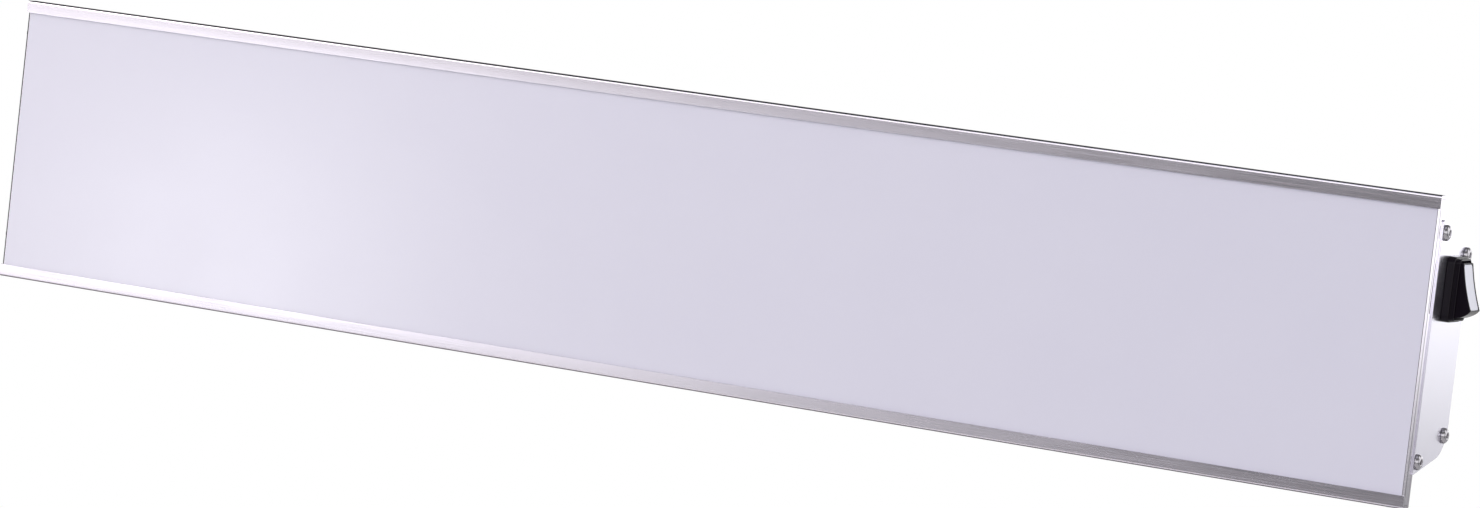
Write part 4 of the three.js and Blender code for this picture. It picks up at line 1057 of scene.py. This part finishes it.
# Studio, in metres: pale floor far below, soft lights, and walls that only the heater mirrors
FLOOR_RADIUS = 3.0
FLOOR_SIDES = 96
FLOOR_LEVEL = -1.2
GREY_CARD = [(-1.0, -0.15), (0.52, -0.15), (0.52, 0.6), (-1.0, 0.6)]
GREY_CARD_LEVEL = -0.3

# Brightness of the room, and of its walls at degrees right of the front
ROOM_LIGHT = 1.55
WALLS = [
    (-60, 0.04),
    (-50, 0.25),
    (-42, 0.9),
    (-34, 1.0),
    (-31, 0.9),
    (-28, 0.57),
    (-25, 0.34),
    (-22, 0.155),
    (-18, 0.04),
    (-8, 0.04),
    (0, 1.0),
    (62, 1.0),
    (75, 0.55),
    (105, 0.55),
    (118, 1.0),
]
# and at heights, as shares of the distance, on each side of the room
LEFT_FRONT = [(-0.42, 0.55), (-0.27, 1.15), (0.12, 0.75)]
FRONT_TOP = [(0.2, 1.2), (0.72, 1.2), (0.8, 0.04)]
LEFT_BACK = [(-0.2, 0.45), (-0.13, 0.08), (0.02, 0.03), (0.95, 0.03)]
RIGHT = [
    (-0.2, 0.45),
    (-0.115, 0.2),
    (-0.095, 0.3),
    (-0.086, 0.48),
    (-0.08, 0.68),
    (-0.072, 0.93),
    (0.0, 1.25),
    (0.3, 1.05),
    (0.5, 0.2),
]
# Limits, in shares of the distance, between which one side of the room passes into the next
WALL_TO_TOP = (0.14, 0.24)
LEFT_TO_RIGHT_IN_FRONT = (-0.12, 0.0)
LEFT_TO_RIGHT_BEHIND = (-0.1, 0.05)
FRONT_TO_BACK = (-0.1, 0.1)
# Reflection of a lamp on the left part of the glass
GLOW_DIRECTION = (-0.5285, -0.8447, -0.0856)
GLOW_REACH = 0.052
GLOW = 6.0


def make_floor():
    made = bmesh.new()
    bmesh.ops.create_circle(made, cap_ends=True, segments=FLOOR_SIDES, radius=FLOOR_RADIUS)
    mesh = bpy.data.meshes.new("studio_floor")
    made.to_mesh(mesh)
    made.free()
    floor = bpy.data.objects.new("studio_floor", mesh)
    floor.location.z = FLOOR_LEVEL
    bpy.context.scene.collection.objects.link(floor)
    paper, _, _ = surface(
        "pale_paper_floor",
        Base_Color=linear("f2f2f3"),
        Roughness=0.9,
        Emission_Color=linear("ffffff"),
        Emission_Strength=0.25,
    )
    mesh.materials.append(paper)


def blend(tree, value, limits, first, second):
    """Goes from the first brightness to the second as a value passes between two limits."""
    span = {"Value": value, "From Min": limits[0], "From Max": limits[1]}
    share = add_node(tree, "ShaderNodeMapRange", span).outputs["Result"]
    mixed = {MIX_SHARE: share, FIRST_COLOUR: first, SECOND_COLOUR: second}
    return add_node(tree, "ShaderNodeMix", mixed, data_type="RGBA").outputs[MIXED_COLOUR]


def set_levels(ramp, stops):
    """Gives a colour ramp its grey levels, at places from 0 to 1."""
    elements = ramp.color_ramp.elements
    while len(elements) < len(stops):
        elements.new(1.0)
    for element, (place, level) in zip(elements, stops):
        element.position = place
        element.color = (level, level, level, 1.0)


def make_room(tree, direction):
    """The studio round the heater, as the brightness of each direction. In front on the left a
    white wall gets dark towards the middle, so that the brushed frame runs from white to grey,
    and above it is white up to a black ceiling. Behind on the left it is dark down to the
    table. On the right it is white from the table's edge up to a dark ceiling, with a grey
    wall in the middle."""
    separated = add_node(tree, "ShaderNodeSeparateXYZ", {"Vector": direction})
    along, depth, up = separated.outputs
    around = add_node(
        tree, "ShaderNodeTexGradient", {"Vector": direction}, gradient_type="RADIAL"
    ).outputs["Fac"]
    upright = {"Value": up, "From Min": -1.0, "From Max": 1.0}
    lifted = add_node(tree, "ShaderNodeMapRange", upright).outputs["Result"]
    ramps = [(around, [(0.25 + angle / 360, level) for angle, level in WALLS])]
    for stops in (LEFT_FRONT, FRONT_TOP, LEFT_BACK, RIGHT):
        ramps.append((lifted, [((height + 1) / 2, level) for height, level in stops]))
    levels = []
    for place, stops in ramps:
        ramp = add_node(tree, "ShaderNodeValToRGB", {"Fac": place})
        set_levels(ramp, stops)
        levels.append(ramp.outputs["Color"])
    walls, left_heights, front_top, left_back, right_heights = levels
    low_front, right = (
        add_node(
            tree,
            "ShaderNodeMix",
            {MIX_SHARE: 1.0, FIRST_COLOUR: walls, SECOND_COLOUR: heights},
            data_type="RGBA",
            blend_type="MULTIPLY",
        ).outputs[MIXED_COLOUR]
        for heights in (left_heights, right_heights)
    )
    left_front = blend(tree, up, WALL_TO_TOP, low_front, front_top)
    front = blend(tree, along, LEFT_TO_RIGHT_IN_FRONT, left_front, right)
    back = blend(tree, along, LEFT_TO_RIGHT_BEHIND, left_back, right)
    return blend(tree, depth, FRONT_TO_BACK, front, back)


def make_world():
    """White for the camera; what the heater mirrors is the room, with a lamp's glow in it."""
    world = bpy.data.worlds.new("studio")
    bpy.context.scene.world = world
    world.use_nodes = True
    tree = world.node_tree
    tree.nodes.clear()
    direction = add_node(tree, "ShaderNodeTexCoord", {}).outputs["Generated"]
    room = make_room(tree, direction)
    apart = {0: direction, 1: GLOW_DIRECTION}
    away = add_node(tree, "ShaderNodeVectorMath", apart, operation="DISTANCE").outputs["Value"]
    glow = add_node(
        tree,
        "ShaderNodeMapRange",
        {"Value": away, "From Min": 0.0, "From Max": GLOW_REACH, "To Min": GLOW, "To Max": 0.0},
        interpolation_type="SMOOTHSTEP",
    ).outputs["Result"]
    lit = {0: room, 1: ROOM_LIGHT, 2: glow}
    bright = add_node(tree, "ShaderNodeMath", lit, operation="MULTIPLY_ADD").outputs["Value"]
    seen = add_node(tree, "ShaderNodeLightPath", {}).outputs["Is Camera Ray"]
    choice = {MIX_SHARE: seen, FIRST_NUMBER: bright, SECOND_NUMBER: 1.0}
    light = add_node(tree, "ShaderNodeMix", choice, data_type="FLOAT").outputs["Result"]
    background = add_node(
        tree, "ShaderNodeBackground", {"Color": (1.0, 1.0, 1.0, 1.0), "Strength": light}
    ).outputs["Background"]
    add_node(tree, "ShaderNodeOutputWorld", {"Surface": background})


def add_soft_light(name, place, aim, size, power, colour):
    """A rectangular softbox, out of the camera's sight, with its power in watts."""
    data = bpy.data.lights.new(name, "AREA")
    data.color = linear(colour)[:3]
    data.shape = "RECTANGLE"
    data.size, data.size_y = size
    data.energy = power
    light = bpy.data.objects.new(name, data)
    light.location = place
    light.rotation_mode = "QUATERNION"
    light.rotation_quaternion = (Vector(aim) - Vector(place)).to_track_quat("-Z", "Y")
    light.visible_camera = False
    bpy.context.scene.collection.objects.link(light)


def add_grey_card():
    """A dark grey card under the heater, out of the camera's sight, that its lower edge mirrors."""
    made = bmesh.new()
    corners = [made.verts.new((x, y, 0.0)) for x, y in GREY_CARD]
    made.faces.new(corners)
    mesh = bpy.data.meshes.new("grey_card")
    made.to_mesh(mesh)
    made.free()
    card = bpy.data.objects.new("grey_card", mesh)
    card.location.z = GREY_CARD_LEVEL
    card.visible_camera = False
    bpy.context.scene.collection.objects.link(card)
    grey, _, _ = surface("grey_card_paper", Base_Color=linear("7e7c80"), Roughness=0.9)
    mesh.materials.append(grey)


def make_studio():
    make_floor()
    add_grey_card()
    make_world()
    middle = (0.0, 0.0, 0.0)
    add_soft_light("key_light", (-3.2, -2.6, 1.6), middle, size=(2.0, 2.0), power=56, colour="ffeedd")
    add_soft_light("top_light", (0.3, -1.0, 3.2), middle, size=(3.0, 2.0), power=14, colour="f4f6ff")
    right_end = (0.5, 0.0, 0.0)
    add_soft_light("end_light", (1.1, 0.2, 0.5), right_end, size=(0.5, 0.5), power=1.2, colour="ffffff")
    bpy.context.scene.view_settings.view_transform = "Standard"


def main():
    materials = make_materials()
    add_housing(materials)
    add_glass(materials)
    add_side_bars(materials)
    add_end_plates(materials)
    add_end_screws(materials)
    add_switch(materials)
    add_rocker(materials)
    add_gland(materials)
    finish_inner_pieces(materials)
    make_studio()


main()
